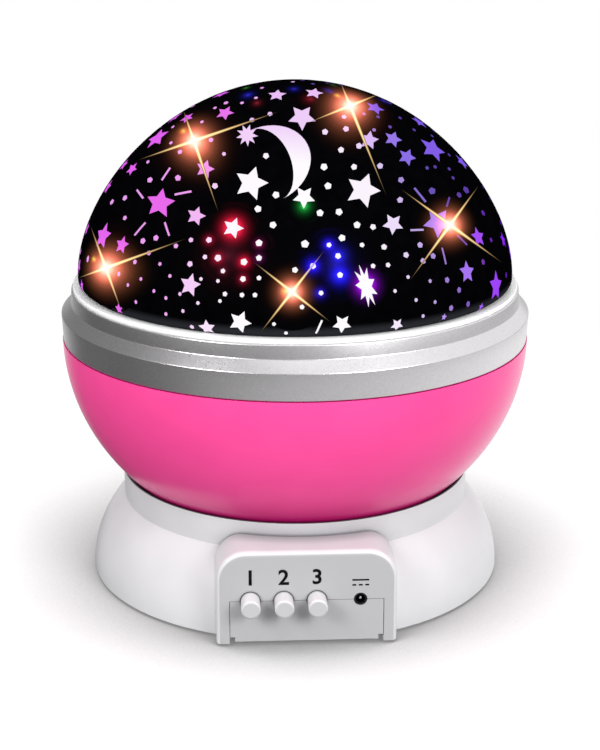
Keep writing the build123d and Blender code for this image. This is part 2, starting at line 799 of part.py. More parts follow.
def make_door_screw():
    """Captive screw of the battery door."""
    seat_z = plate_bottom_z + door_screw_sink
    return screw(door_screw_at(), seat_z, door_screw_length, door_screw_radius, door_screw_head,
                 door_screw_sink)


# ---- controls ----

def make_switch_board():
    """Circuit board behind the panel."""
    board = block(
        -board_half_width, board_half_width, board_front_y, board_back_y, board_bottom_z, board_top_z
    )
    for side in (-1, 1):
        board -= round_bar(small_screw_radius + seat_gap / 2, board_bottom_z, board_top_z,
                           (side * board_screw_x, board_screw_y))
    return board


def make_board_screws():
    """Two screws that hold the switch board on its posts."""
    return group([
        screw((side * board_screw_x, board_screw_y), board_top_z, board_screw_length, small_screw_radius,
              small_screw_head, small_head_height, up=-1)
        for side in (-1, 1)
    ])


def make_push_switches():
    """Switch housings on the board, one behind each button."""
    top_z = 2 * controls_z - board_top_z
    switches = []
    for x in button_places():
        body = block(
            x - switch_half_width, x + switch_half_width, switch_front_y, switch_front_y + switch_depth,
            board_top_z, top_z,
        )
        bore_back_y = switch_front_y + switch_plunger_hold + button_travel + seat_gap
        body -= bar_y(switch_plunger_radius + running_gap, switch_front_y, bore_back_y, x, controls_z)
        switches.append(body)
    return group(switches)


def make_button(x):
    """Cap that stands through the panel, with the flange that keeps it in and its stem."""
    cap = bar_y(button_radius, panel_face_y - button_reach, button_flange_y, x, controls_z)
    cap = fillet(cap.faces().sort_by(Axis.Y)[0].edges(), button_round)
    cap += bar_y(button_flange_radius, button_flange_y, button_flange_y + button_flange, x, controls_z)
    return cap + bar_y(button_stem_radius, button_flange_y + button_flange, button_stem_y, x, controls_z)


def make_plunger(x):
    """Plunger of a push switch, which the button's stem presses on."""
    return bar_y(switch_plunger_radius, button_stem_y, switch_front_y + switch_plunger_hold, x, controls_z)


def make_dc_jack():
    """Power socket: its nose fills a hole in the panel and its bore takes the plug."""
    top_z = 2 * controls_z - board_top_z
    nose_y = panel_face_y + jack_nose_recess
    jack = block(jack_x - jack_half_width, jack_x + jack_half_width, panel_wall_y + button_play, jack_back_y,
                 board_top_z, top_z)
    jack += bar_y(jack_nose_radius, nose_y, jack_back_y, jack_x, controls_z)
    return jack - bar_y(jack_bore_radius, nose_y, nose_y + jack_bore_depth, jack_x, controls_z)


def make_dc_jack_pin():
    """Centre pin that stands in the socket's bore."""
    nose_y = panel_face_y + jack_nose_recess
    pin = bar_y(jack_pin_radius, nose_y + jack_pin_recess, nose_y + jack_bore_depth, jack_x, controls_z)
    return fillet(pin.faces().sort_by(Axis.Y)[0].edges(), jack_pin_radius / 2)


def make_control_chip():
    """Control chip under the switch board."""
    return block(chip_x - chip_length / 2, chip_x + chip_length / 2, chip_y - chip_width / 2,
                 chip_y + chip_width / 2, board_bottom_z - chip_height, board_bottom_z)


# ---- motor and gears ----

def make_motor_can():
    """Flat motor with a nose that locates it in the bracket."""
    can = round_bar(motor_radius, plate_top_z, bay_top_z, motor_at)
    can = fillet(can.edges().filter_by(GeomType.CIRCLE), motor_edge)
    nose_top_z = bay_top_z + motor_nose_height
    can += round_bar(motor_nose_radius, bay_top_z, nose_top_z, motor_at)
    bore = motor_shaft_radius + running_gap
    return can - round_bar(bore, bay_top_z - motor_shaft_hold - running_gap, nose_top_z, motor_at)


def make_motor_shaft():
    """Motor shaft."""
    top_z = wheel_z + motor_pinion_face + motor_shaft_top
    return round_bar(motor_shaft_radius, bay_top_z - motor_shaft_hold, top_z, motor_at)


def make_motor_bracket():
    """Cap that clamps the motor onto the tray and carries the pin of the compound gear."""
    bracket = round_bar(bracket_radius, bay_top_z, bracket_top_z, motor_at)
    bracket += pipe(bracket_radius, motor_radius + panel_gap, bay_top_z - bracket_skirt, bay_top_z, motor_at)
    for angle in bracket_angles:
        ear_at = polar(bracket_reach, angle, motor_at)
        bracket += round_bar(bracket_ear_radius, bay_top_z, bracket_top_z, ear_at)
        link = block(0, bracket_reach, -bracket_ear_radius, bracket_ear_radius, bay_top_z, bracket_top_z)
        bracket += Pos(motor_at[0], motor_at[1], 0) * Rot(0, 0, angle) * link
        bracket -= round_bar(small_screw_radius + seat_gap / 2, bay_top_z, bracket_top_z, ear_at)
    bracket -= round_bar(motor_nose_radius + panel_gap, bay_top_z, bracket_top_z, motor_at)
    return bracket - round_bar(gear_pin_radius + thread_gap, bay_top_z, bracket_top_z, compound_at)


def make_bracket_screws():
    """Two screws that hold the motor bracket on its posts."""
    return group([
        screw(polar(bracket_reach, angle, motor_at), bracket_top_z, bracket_screw_length, small_screw_radius,
              small_screw_head, small_head_height, up=-1)
        for angle in bracket_angles
    ])


def make_motor_pinion():
    """Small brass pinion on the motor shaft; a gap between its teeth faces the compound gear."""
    toward = motor_bearing + 180
    pinion = gear(small_teeth, fine_module, toward + 180 / small_teeth, wheel_z, wheel_z + motor_pinion_face,
                  motor_at)
    return pinion - round_bar(motor_shaft_radius + thread_gap, wheel_z, wheel_z + motor_pinion_face, motor_at)


def make_compound_gear():
    """Wheel driven by the motor pinion, with the smaller pinion that drives the bowl."""
    wheel = gear(wheel_teeth, fine_module, motor_bearing, wheel_z, wheel_top_z, compound_at)
    toward = compound_bearing + 180
    pinion = gear(small_teeth, coarse_module, toward + 180 / small_teeth, wheel_top_z, compound_top_z,
                  compound_at)
    hub_z = bracket_top_z + compound_hub_gap
    hub = round_bar(compound_hub_radius, hub_z, wheel_z, compound_at)
    bore = round_bar(gear_pin_radius + running_gap, hub_z, compound_top_z, compound_at)
    return wheel + pinion + hub - bore


def make_gear_pin():
    """Fixed pin of the compound gear."""
    return round_bar(gear_pin_radius, bay_top_z, gear_pin_top_z, compound_at)


def make_drive_gear():
    """Gear keyed by two flats to the spigot of the bowl."""
    wheel = gear(drive_teeth, coarse_module, compound_bearing, drive_bottom_z, drive_top_z)
    half = spigot_flat + thread_gap
    bore = round_bar(spigot_lower_radius + thread_gap, drive_bottom_z, drive_top_z)
    bore &= block(-half, half, -spigot_radius, spigot_radius, drive_bottom_z, drive_top_z)
    return wheel - bore


def make_retaining_clip():
    """Open spring clip in the groove of the spigot, under the drive gear."""
    z1 = clip_z + clip_thickness
    clip = pipe(clip_outer_radius, clip_groove_radius + clip_gap, clip_z, z1)
    return clip - sector(clip_groove_radius - 1, clip_outer_radius + 1, clip_z, z1, 0, clip_opening)


def make_thrust_washer():
    """Plain washer on the deck hub that carries the bowl."""
    return pipe(washer_radius, spigot_radius + panel_gap, deck_top_z, bowl_bottom_z)


# ---- turning bowl ----

def make_bowl():
    """Round bowl with its spigot, and posts inside for the reflector screws."""
    outer = oval_solid(bowl_radius, bowl_rise, bowl_level, bowl_bottom_z, bowl_rim_z)
    room_z = bowl_bottom_z + bowl_wall
    bowl = outer - oval_solid(
        bowl_radius - bowl_wall, bowl_rise - bowl_wall, bowl_level, room_z, bowl_rim_z
    )
    bowl += pipe(rim_step_outer, bowl_radius - bowl_wall, bowl_rim_z - rim_step, bowl_rim_z + rim_step)
    for angle in post_angles:
        at = polar(post_circle, angle)
        post = round_bar(post_radius, post_root_z, bowl_rim_z, at)
        web = block(post_circle, bowl_radius, -web_half_thickness, web_half_thickness, post_root_z, web_top_z)
        bowl += (post + Rot(0, 0, angle) * web) & outer
        bowl += round_bar(post_radius, bowl_rim_z - 1, flange_bottom_z, at)
        hole_z = reflector_top_z - reflector_screw_length - thread_gap
        bowl -= round_bar(reflector_screw_radius + thread_gap, hole_z, flange_bottom_z, at)
    neck = round_bar(spigot_radius, drive_top_z, room_z)
    lower = round_bar(spigot_lower_radius, spigot_bottom_z, drive_top_z)
    lower &= block(-spigot_flat, spigot_flat, -spigot_radius, spigot_radius, spigot_bottom_z, drive_top_z)
    groove_top_z = clip_z + clip_thickness + clip_gap
    groove = pipe(spigot_radius + 1, clip_groove_radius, clip_z - clip_gap, groove_top_z)
    bowl += neck + (lower - groove)
    return bowl - round_bar(spigot_bore_radius, spigot_bottom_z, room_z)


def make_trim_ring():
    """Stepped ring on the bowl, with the bayonet ledge for the dome and a flange for the reflector."""
    ledge_z = ring_top_z - ledge_thickness
    seat_z = bowl_rim_z + rim_step
    ring = turned_polygon(
        (ring_radius - ring_edge, seat_z), (ring_radius, seat_z + ring_edge),
        (ring_radius, ring_bevel_z - ring_edge), (ring_radius - ring_edge, ring_bevel_z),
        (ring_upper_radius, ring_upper_z), (ring_top_radius, ring_top_z),
        (ledge_radius, ring_top_z), (ledge_radius, ledge_z), (groove_radius, ledge_z),
        (groove_radius, groove_floor_z), (ledge_radius, groove_floor_z), (ledge_radius, flange_top_z),
        (flange_radius, flange_top_z), (flange_radius, flange_bottom_z), (ring_skirt_inner, flange_bottom_z),
        (ring_skirt_inner, ring_skirt_z), (ring_skirt_outer, ring_skirt_z), (ring_skirt_outer, seat_z),
    )
    for angle in bayonet_angles:
        ring -= sector(ledge_radius - 1, groove_radius, ledge_z, ring_top_z, angle, slot_width)
    for angle in post_angles:
        at = polar(post_circle, angle)
        ring -= round_bar(reflector_screw_radius + seat_gap, flange_bottom_z, flange_top_z, at)
    return ring


def make_reflector_plate():
    """White plate inside the dome, with a hole for the lamp and four screw holes."""
    plate = pipe(reflector_radius, reflector_hole, flange_top_z, reflector_top_z)
    for angle in post_angles:
        at = polar(post_circle, angle)
        plate -= round_bar(reflector_screw_radius + seat_gap, flange_top_z, reflector_top_z, at)
    return plate


def make_reflector_screws():
    """Screws through the plate and the ring's flange into the bowl's posts."""
    return group([
        screw(polar(post_circle, angle), reflector_top_z, reflector_screw_length, reflector_screw_radius,
              reflector_screw_head, reflector_head_height, up=-1)
        for angle in post_angles
    ])


# ---- dome ----

def dome_side(inset):
    """Side of the dome from its widest height to its top, drawn as (radius, height)."""
    radius = dome_radius - inset
    rise = dome_rise - inset
    top_z = dome_start_z + rise
    return Bezier(
        (radius, dome_start_z), (radius, dome_start_z + rise * dome_side_pull),
        (radius * dome_top_pull, top_z), (0, top_z),
    )


def make_star_dome():
    """Thin dome of printed film, with its lower edge curled in to a flat lip."""
    outer = dome_side(0)
    inner = dome_side(dome_wall)
    curl_radius = (outer @ 0).X - dome_curl
    outer_curl = TangentArc(tuple(outer @ 0)[:2], (curl_radius, lip_top_z), tangent=(0, -1))
    inner_curl = TangentArc(tuple(inner @ 0)[:2], (curl_radius, dome_lip_top_z), tangent=(0, -1))
    lip = Polyline(
        (curl_radius, lip_top_z), (dome_lip_radius, lip_top_z), (dome_lip_radius, dome_lip_top_z),
        (curl_radius, dome_lip_top_z),
    )
    top = Line(outer @ 1, inner @ 1)
    return turned(outer, top, inner, inner_curl, lip, outer_curl)


def make_dome_collar():
    """White lip under the dome, with a skirt and three bayonet tabs."""
    collar = turned_polygon(
        (collar_skirt_inner, collar_skirt_z), (collar_skirt_outer, collar_skirt_z),
        (collar_skirt_outer, ring_top_z), (lip_radius - ring_edge, ring_top_z),
        (lip_radius, ring_top_z + ring_edge), (lip_radius, lip_top_z - ring_edge),
        (lip_radius - ring_edge, lip_top_z), (collar_skirt_inner, lip_top_z),
    )
    for angle in bayonet_angles:
        collar += sector(collar_skirt_outer - 1, bayonet_radius, collar_skirt_z,
                         collar_skirt_z + bayonet_height, angle, tab_width)
    return collar


def make_film_retainer():
    """Ring that clamps the dome's lip onto the collar from inside."""
    sleeve_z = lip_top_z - retainer_sleeve_depth
    top_z = dome_lip_top_z + retainer_height
    return turned_polygon(
        (retainer_inner, sleeve_z), (retainer_sleeve, sleeve_z), (retainer_sleeve, dome_lip_top_z),
        (retainer_outer, dome_lip_top_z), (retainer_outer, top_z), (retainer_inner, top_z),
    )


def make_dome_gasket():
    """Foam ring on the reflector plate, under the collar's skirt."""
    return pipe(gasket_outer, gasket_inner, reflector_top_z, reflector_top_z + gasket_height)


# ---- lamp ----

def make_lamp_post():
    """Fixed hollow post up the middle of the bowl, with its flange on the battery bay."""
    flange_top = bay_top_z + lamp_flange_height
    post = round_bar(lamp_post_radius, bay_top_z, holder_disc_z)
    post += round_bar(lamp_flange_radius, bay_top_z, flange_top)
    post -= round_bar(lamp_post_bore, bay_top_z, holder_disc_z)
    slot_half = cable_radius + thread_gap
    slot = block(0, lamp_flange_radius + 1, -slot_half, slot_half, bay_top_z, cable_slot_z + slot_half)
    post -= Rot(0, 0, cable_bearing) * slot
    for angle in lamp_screw_angles:
        post -= round_bar(small_screw_radius + seat_gap / 2, bay_top_z, flange_top,
                          polar(lamp_screw_circle, angle))
    return post


def make_post_screws():
    """Screws that hold the post's flange on the ceiling of the battery bay."""
    seat_z = bay_top_z + lamp_flange_height
    return group([
        screw(polar(lamp_screw_circle, angle), seat_z, lamp_flange_height + lamp_screw_length,
              small_screw_radius, small_screw_head, lamp_flange_height / 2, up=-1)
        for angle in lamp_screw_angles
    ])


def make_led_holder():
    """Disc with a sleeve that is pushed onto the top of the post and carries the LED board."""
    holder = round_bar(holder_radius, holder_disc_z, holder_top_z)
    holder += round_bar(holder_sleeve, holder_disc_z - holder_sleeve_length, holder_disc_z)
    holder -= round_bar(lamp_post_radius + thread_gap, holder_disc_z - holder_sleeve_length, holder_disc_z)
    holder -= round_bar(led_board_hole, holder_disc_z, holder_top_z)
    for angle in led_screw_angles:
        holder -= round_bar(small_screw_radius + thread_gap, holder_disc_z, holder_top_z,
                            polar(led_screw_circle, angle))
    return holder


def make_led_board():
    """Round circuit board of the LEDs."""
    board = pipe(led_board_radius, led_board_hole, led_board_z, led_board_top_z)
    for angle in led_screw_angles:
        board -= round_bar(small_screw_radius + seat_gap / 2, led_board_z, led_board_top_z,
                           polar(led_screw_circle, angle))
    return board


def make_led_screws():
    """Two screws that hold the LED board on its holder."""
    return group([
        screw(polar(led_screw_circle, angle), led_board_top_z, led_screw_length, small_screw_radius,
              small_screw_head, small_head_height, up=-1)
        for angle in led_screw_angles
    ])


def make_led(at):
    """Round-nosed LED that stands on the board."""
    shoulder_height_z = led_board_top_z + led_flange_height + led_height - led_radius
    lens = turned(
        Polyline((0, led_board_top_z), (led_flange_radius, led_board_top_z),
                 (led_flange_radius, led_board_top_z + led_flange_height),
                 (led_radius, led_board_top_z + led_flange_height), (led_radius, shoulder_height_z)),
        CenterArc((0, shoulder_height_z), led_radius, 0, 90),
        Line((0, shoulder_height_z + led_radius), (0, led_board_top_z)),
    )
    return Pos(at[0], at[1], 0) * lens


def make_led_resistors():
    """Small resistors on the LED board, one for each LED."""
    pieces = []
    for angle in resistor_angles:
        chip = block(-resistor_width / 2, resistor_width / 2, -resistor_length / 2, resistor_length / 2,
                     led_board_top_z, led_board_top_z + resistor_height)
        x, y = polar(resistor_circle, angle)
        pieces.append(Pos(x, y, 0) * Rot(0, 0, angle) * chip)
    return group(pieces)


# ---- leads, at their real route inside the base ----

def make_battery_leads():
    """Two leads from the solder tags of the bay to the switch board."""
    tag_x = bay_half_length + bay_wall + tag_reach + lead_gap
    rows = cell_rows()
    leads = []
    for order, (row, bends) in enumerate(((rows[0], near_bends), (rows[-1], far_bends))):
        shift = order * lead_step
        lane_x = tag_x + lead_lane + shift
        end_x = pad_x + shift
        over_z = lead_z + lead_rise
        leads.append(wire([
            (tag_x, row, lead_z), (lane_x, row, lead_z), (lane_x, lead_turn_y - shift / 2, lead_z),
            (end_x, pad_y + lead_run_in - shift / 2, over_z), (end_x, pad_y, over_z),
            (end_x, pad_y, board_top_z + lead_gap),
        ], lead_radius, bends))
    return group(leads)


def make_motor_leads():
    """Two short leads from the side of the motor to the switch board."""
    leads = []
    for order in range(2):
        offset = motor_lead_offset + order * lead_step
        x = motor_at[0] + offset
        start_y = motor_at[1] - math.sqrt(motor_radius ** 2 - offset ** 2) - seat_gap
        points = [(x, start_y, lead_z), (x, pad_y, lead_z), (x, pad_y, board_top_z + lead_gap)]
        leads.append(wire(points, lead_radius, (1.0,)))
    return group(leads)


def make_lamp_cable():
    """Cable of the LED board: down the post, out through its flange and over to the switch board."""
    out = polar(lamp_flange_radius + cable_overhang, cable_bearing)
    return wire([
        (0, 0, led_board_z - lead_gap), (0, 0, cable_slot_z), (out[0], out[1], cable_slot_z),
        (cable_dip[0], cable_dip[1], cable_lane_z), (cable_lane_x, cable_lane_y, cable_lane_z),
        (cable_pad_x, pad_y, cable_lane_z), (cable_pad_x, pad_y, board_top_z + lead_gap),
    ], cable_radius, cable_bends)


# ---- nodes ----

places = button_places()
nodes = {
    "base_shell": make_base_shell(),
    "base_plate": make_base_plate(),
    "battery_door": make_battery_door(),
    "door_screw": make_door_screw(),
    "base_screws": make_base_screws(),
    "rubber_feet": make_rubber_feet(),
    "aaa_cells": make_cells(),
    "cell_springs": make_cell_springs(),
    "cell_contacts": make_cell_contacts(),
    "switch_board": make_switch_board(),
    "board_screws": make_board_screws(),
    "push_switches": make_push_switches(),
    "control_chip": make_control_chip(),
    "night_light_button": make_button(places[0]),
    "colour_button": make_button(places[1]),
    "rotation_button": make_button(places[2]),
    "night_light_plunger": make_plunger(places[0]),
    "colour_plunger": make_plunger(places[1]),
    "rotation_plunger": make_plunger(places[2]),
    "dc_jack": make_dc_jack(),
    "dc_jack_pin": make_dc_jack_pin(),
    "motor_can": make_motor_can(),
    "motor_shaft": make_motor_shaft(),
    "motor_bracket": make_motor_bracket(),
    "bracket_screws": make_bracket_screws(),
    "motor_pinion": make_motor_pinion(),
    "compound_gear": make_compound_gear(),
    "gear_pin": make_gear_pin(),
    "drive_gear": make_drive_gear(),
    "retaining_clip": make_retaining_clip(),
    "thrust_washer": make_thrust_washer(),
    "bowl": make_bowl(),
    "trim_ring": make_trim_ring(),
    "reflector_plate": make_reflector_plate(),
    "reflector_screws": make_reflector_screws(),
    "dome_gasket": make_dome_gasket(),
    "dome_collar": make_dome_collar(),
    "star_dome": make_star_dome(),
    "film_retainer": make_film_retainer(),
    "lamp_post": make_lamp_post(),
    "post_screws": make_post_screws(),
    "led_holder": make_led_holder(),
    "led_board": make_led_board(),
    "led_screws": make_led_screws(),
    "led_warm": make_led(polar(warm_led_circle, warm_led_angle)),
    "led_resistors": make_led_resistors(),
    "battery_leads": make_battery_leads(),
    "motor_leads": make_motor_leads(),
    "lamp_cable": make_lamp_cable(),
}
for index, name in enumerate(led_names):
    nodes[name] = make_led(polar(led_circle, led_first_angle + index * 360 / len(led_names)))

os.makedirs("parts", exist_ok=True)
for name, shape in nodes.items():
    export_step(shape, f"parts/{name}.step")
print(len(nodes), "nodes")
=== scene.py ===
import logging
import math
import random
from dataclasses import dataclass, field
from enum import Enum
from typing import Callable, Sequence

import bpy
from mathutils import Euler, Matrix, Vector


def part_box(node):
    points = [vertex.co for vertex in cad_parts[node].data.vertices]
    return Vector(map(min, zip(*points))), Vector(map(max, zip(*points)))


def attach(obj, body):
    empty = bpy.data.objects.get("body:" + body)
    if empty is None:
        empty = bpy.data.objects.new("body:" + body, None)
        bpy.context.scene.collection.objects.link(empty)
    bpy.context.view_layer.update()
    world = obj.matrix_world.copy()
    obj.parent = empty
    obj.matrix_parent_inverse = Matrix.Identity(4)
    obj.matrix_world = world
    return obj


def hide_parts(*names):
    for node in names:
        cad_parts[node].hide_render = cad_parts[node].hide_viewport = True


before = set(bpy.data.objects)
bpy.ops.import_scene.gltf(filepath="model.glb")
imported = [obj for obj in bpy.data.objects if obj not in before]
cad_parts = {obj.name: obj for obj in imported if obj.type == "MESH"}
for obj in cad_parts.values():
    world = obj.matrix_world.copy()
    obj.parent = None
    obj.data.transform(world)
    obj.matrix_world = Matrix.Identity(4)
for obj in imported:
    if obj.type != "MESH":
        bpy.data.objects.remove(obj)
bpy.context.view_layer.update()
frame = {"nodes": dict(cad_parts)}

# Star night light projector: its finishes, modelled shells and printed dome, in metres.
# The origin is the centre of the base on the surface it stands on, +Z is up and the panel faces -Y.

log = logging.getLogger("star_projector")

MM = 0.001
WELD = MM / 1000                # vertices nearer than this are one
VIEW_WIDTH = 600                # pixels of the view that the camera frames
VIEW_HEIGHT = 750
SENSOR = 36.0                   # millimetres along the view's long side
FIFTH_TURN = 72                 # degrees after which a five-pointed star looks the same
TAB_BEARINGS = (30, 150, 270)   # degrees round the axis at which the lip's tabs pass the ring
HEIGHT_SLACK = 0.01 * MM        # an edge is found within this of its height
RADIUS_SLACK = 0.1 * MM         # and within this of its radius
NOISE_LOW, NOISE_HIGH = 0.3, 0.7    # nearly all values of a noise texture lie between these
NEAR_RAYS = 8                   # rays that look for other surfaces near a place

Tree = bpy.types.NodeTree
Socket = bpy.types.NodeSocket
Piece = bpy.types.Object
Colour = tuple[float, ...]
Test = Callable[[Vector], bool]


# ---- colours, numbers and nodes ----

def linear(colour: str) -> Colour:
    """Linear RGBA of an sRGB hex colour.

    Args:
        colour: Hex colour such as "#F94A9B".

    Returns:
        The linear colour with an alpha of 1.
    """
    channels = [int(colour[i:i + 2], 16) / 255 for i in (1, 3, 5)]
    spread = [c / 12.92 if c <= 0.04045 else ((c + 0.055) / 1.055) ** 2.4 for c in channels]
    return spread[0], spread[1], spread[2], 1.0


def progress(value: float, start: float, span: float) -> float:
    """How far a value has gone from start over a span, held between 0 and 1; it falls over one below 0."""
    return min(max((value - start) / span, 0.0), 1.0)


def mixed(low: Sequence[float], high: Sequence[float], share: float) -> Colour:
    """Colour between two linear colours, by a share from 0 to 1."""
    return tuple(a + (b - a) * share for a, b in zip(low, high))


def add_node(tree: Tree, kind: str, inputs: dict | None = None,
             stops: Sequence[tuple[float, Colour]] = (), **settings: object) -> bpy.types.Node:
    """Adds a node with its settings, input values and links.

    Args:
        tree: Node tree that gets the node.
        kind: The node's type name.
        inputs: Value or output socket for each input, by the input's name or number.
        stops: Place and colour of each stop, where the node is a colour ramp.
        **settings: Attributes of the node itself.

    Returns:
        The new node.
    """
    node = tree.nodes.new(kind)
    for name, value in settings.items():
        setattr(node, name, value)
    for name, value in (inputs or {}).items():
        if isinstance(value, Socket):
            tree.links.new(value, node.inputs[name])
        else:
            node.inputs[name].default_value = value
    for _ in stops[2:]:
        node.color_ramp.elements.new(0.5)
    for element, (position, colour) in zip(node.color_ramp.elements if stops else (), stops):
        element.position, element.color = position, colour
    return node


# ---- the kinds of finish ----

class Finish:
    """A surface finish that makes its material once and hands it out again."""

    made: dict[str, bpy.types.Material] = {}

    def material(self) -> bpy.types.Material:
        """The finish's material, made at its first use.

        Returns:
            A material with one Principled shader.
        """
        if self.name not in Finish.made:
            material = bpy.data.materials.new(self.name)
            material.use_nodes = True
            tree = material.node_tree
            tree.nodes.clear()
            place = add_node(tree, "ShaderNodeTexCoord").outputs["Object"]
            shader = add_node(tree, "ShaderNodeBsdfPrincipled", self.inputs(tree, place))
            add_node(tree, "ShaderNodeOutputMaterial", {"Surface": shader.outputs["BSDF"]})
            Finish.made[self.name] = material
        return Finish.made[self.name]

    def inputs(self, tree: Tree, place: Socket) -> dict[str, object]:
        """What the finish gives its shader; each kind of finish has its own.

        Args:
            tree: The material's nodes.
            place: Object coordinates.

        Returns:
            Value or socket of each input of the shader.
        """
        raise NotImplementedError


@dataclass(frozen=True)
class MouldedPlastic(Finish):
    """Injection-moulded plastic: an even colour with faint flow clouds, a fine grain in its gloss, and, where
    asked for, painted shade where other surfaces come near.
    """

    name: str
    colour: str
    cloud: str                  # the colour of the faint clouds
    roughness: float = 0.25
    grain_mm: float = 0.6       # spacing of the fine texture
    grain_depth_mm: float = 0.002
    ripple_mm: float = 14.0     # spacing of the clouds
    ior: float = 1.5            # ABS and polystyrene are near this
    gloss: float = 0.5          # mirror share face on; a matting agent lowers it
    crease_mm: float = 0.0      # painted shade: nearer than this to other surfaces the colour is darkened and the gloss lowered, as shade falls there
    crease_low_mm: float = 0.0  # below this height it doesn't
    crease_rise_mm: float = 3.0     # and it takes this much more height to do so in full
    crease_open: float = 0.95       # share of open sky at which the painted shade begins
    crease_shut: float = 0.35       # and at which it is full
    # colour of the painted shade in creases
    crease_colour: str = "#BC1A6C"
    cloud_low: float = 0.3          # noise values of the full cloud
    cloud_high: float = 0.62        # and of the full colour
    unevenness: float = 0.1         # how far the grain changes the roughness, as a share of it

    def patterns(self, tree: Tree, place: Socket) -> tuple[Socket, Socket]:
        """Colour with its slow clouds, and the fine grain.

        Args:
            tree: The material's nodes.
            place: Object coordinates.

        Returns:
            The colour, and the grain from 0 to 1.
        """
        clouds, grain = (
            add_node(tree, "ShaderNodeTexNoise",
                     {"Vector": place, "Scale": 1 / (spacing * MM), "Detail": 2.0}).outputs["Fac"]
            for spacing in (self.ripple_mm, self.grain_mm)
        )
        colour = add_node(tree, "ShaderNodeValToRGB", {"Fac": clouds},
                          [(self.cloud_low, linear(self.cloud)), (self.cloud_high, linear(self.colour))])
        return colour.outputs["Color"], grain

    def creased(self, tree: Tree, place: Socket, colour: Socket) -> tuple[Socket, Socket | float]:
        """Paints shade: darkens a colour and lowers its gloss where another surface is near, as shade falls
        in creases.

        Args:
            tree: The material's nodes.
            place: Object coordinates.
            colour: The colour in the open.

        Returns:
            The colour, and the level of gloss that goes with it.
        """
        if not self.crease_mm:
            return colour, self.gloss
        nearness = add_node(tree, "ShaderNodeAmbientOcclusion", {"Distance": self.crease_mm * MM},
                            samples=NEAR_RAYS)
        depth = add_node(tree, "ShaderNodeMapRange", {
            "Value": nearness.outputs["AO"], "From Min": self.crease_open, "From Max": self.crease_shut,
        })
        height = add_node(tree, "ShaderNodeSeparateXYZ", {"Vector": place})
        above = add_node(tree, "ShaderNodeMapRange", {
            "Value": height.outputs["Z"], "From Min": self.crease_low_mm * MM,
            "From Max": (self.crease_low_mm + self.crease_rise_mm) * MM,
        })
        share = add_node(tree, "ShaderNodeMath", {0: depth.outputs["Result"], 1: above.outputs["Result"]},
                         operation="MULTIPLY").outputs[0]
        # painted shade: the nearer other surfaces, the darker the colour and the weaker the gloss
        gloss = add_node(tree, "ShaderNodeMapRange", {"Value": share, "To Min": self.gloss, "To Max": 0.0})
        crease_shaded = add_node(tree, "ShaderNodeMix", {0: share, 6: colour, 7: linear(self.crease_colour)},
                        data_type="RGBA")
        return crease_shaded.outputs[2], gloss.outputs["Result"]

    def dullness(self, tree: Tree, place: Socket, grain: Socket) -> Socket:
        """Roughness, which the grain makes a little uneven.

        Args:
            tree: The material's nodes.
            place: Object coordinates, for the kinds of plastic whose roughness changes along the piece.
            grain: The grain from 0 to 1.

        Returns:
            The roughness's socket.
        """
        rough = add_node(tree, "ShaderNodeMapRange", {
            "Value": grain, "From Min": NOISE_LOW, "From Max": NOISE_HIGH,
            "To Min": self.roughness * (1 - self.unevenness),
            "To Max": self.roughness * (1 + self.unevenness),
        })
        return rough.outputs["Result"]

    def inputs(self, tree: Tree, place: Socket) -> dict[str, object]:
        """Clouds and painted crease shade in colour, and grain in roughness and bump.

        Args:
            tree: The material's nodes.
            place: Object coordinates.

        Returns:
            Value or socket of each input of the shader.
        """
        colour, grain = self.patterns(tree, place)
        colour, gloss = self.creased(tree, place, colour)
        bump = add_node(tree, "ShaderNodeBump", {
            "Height": grain, "Distance": self.grain_depth_mm * MM, "Strength": 1.0,
        })
        return {"Base Color": colour, "Roughness": self.dullness(tree, place, grain),
                "Normal": bump.outputs["Normal"], "IOR": self.ior, "Specular IOR Level": gloss}


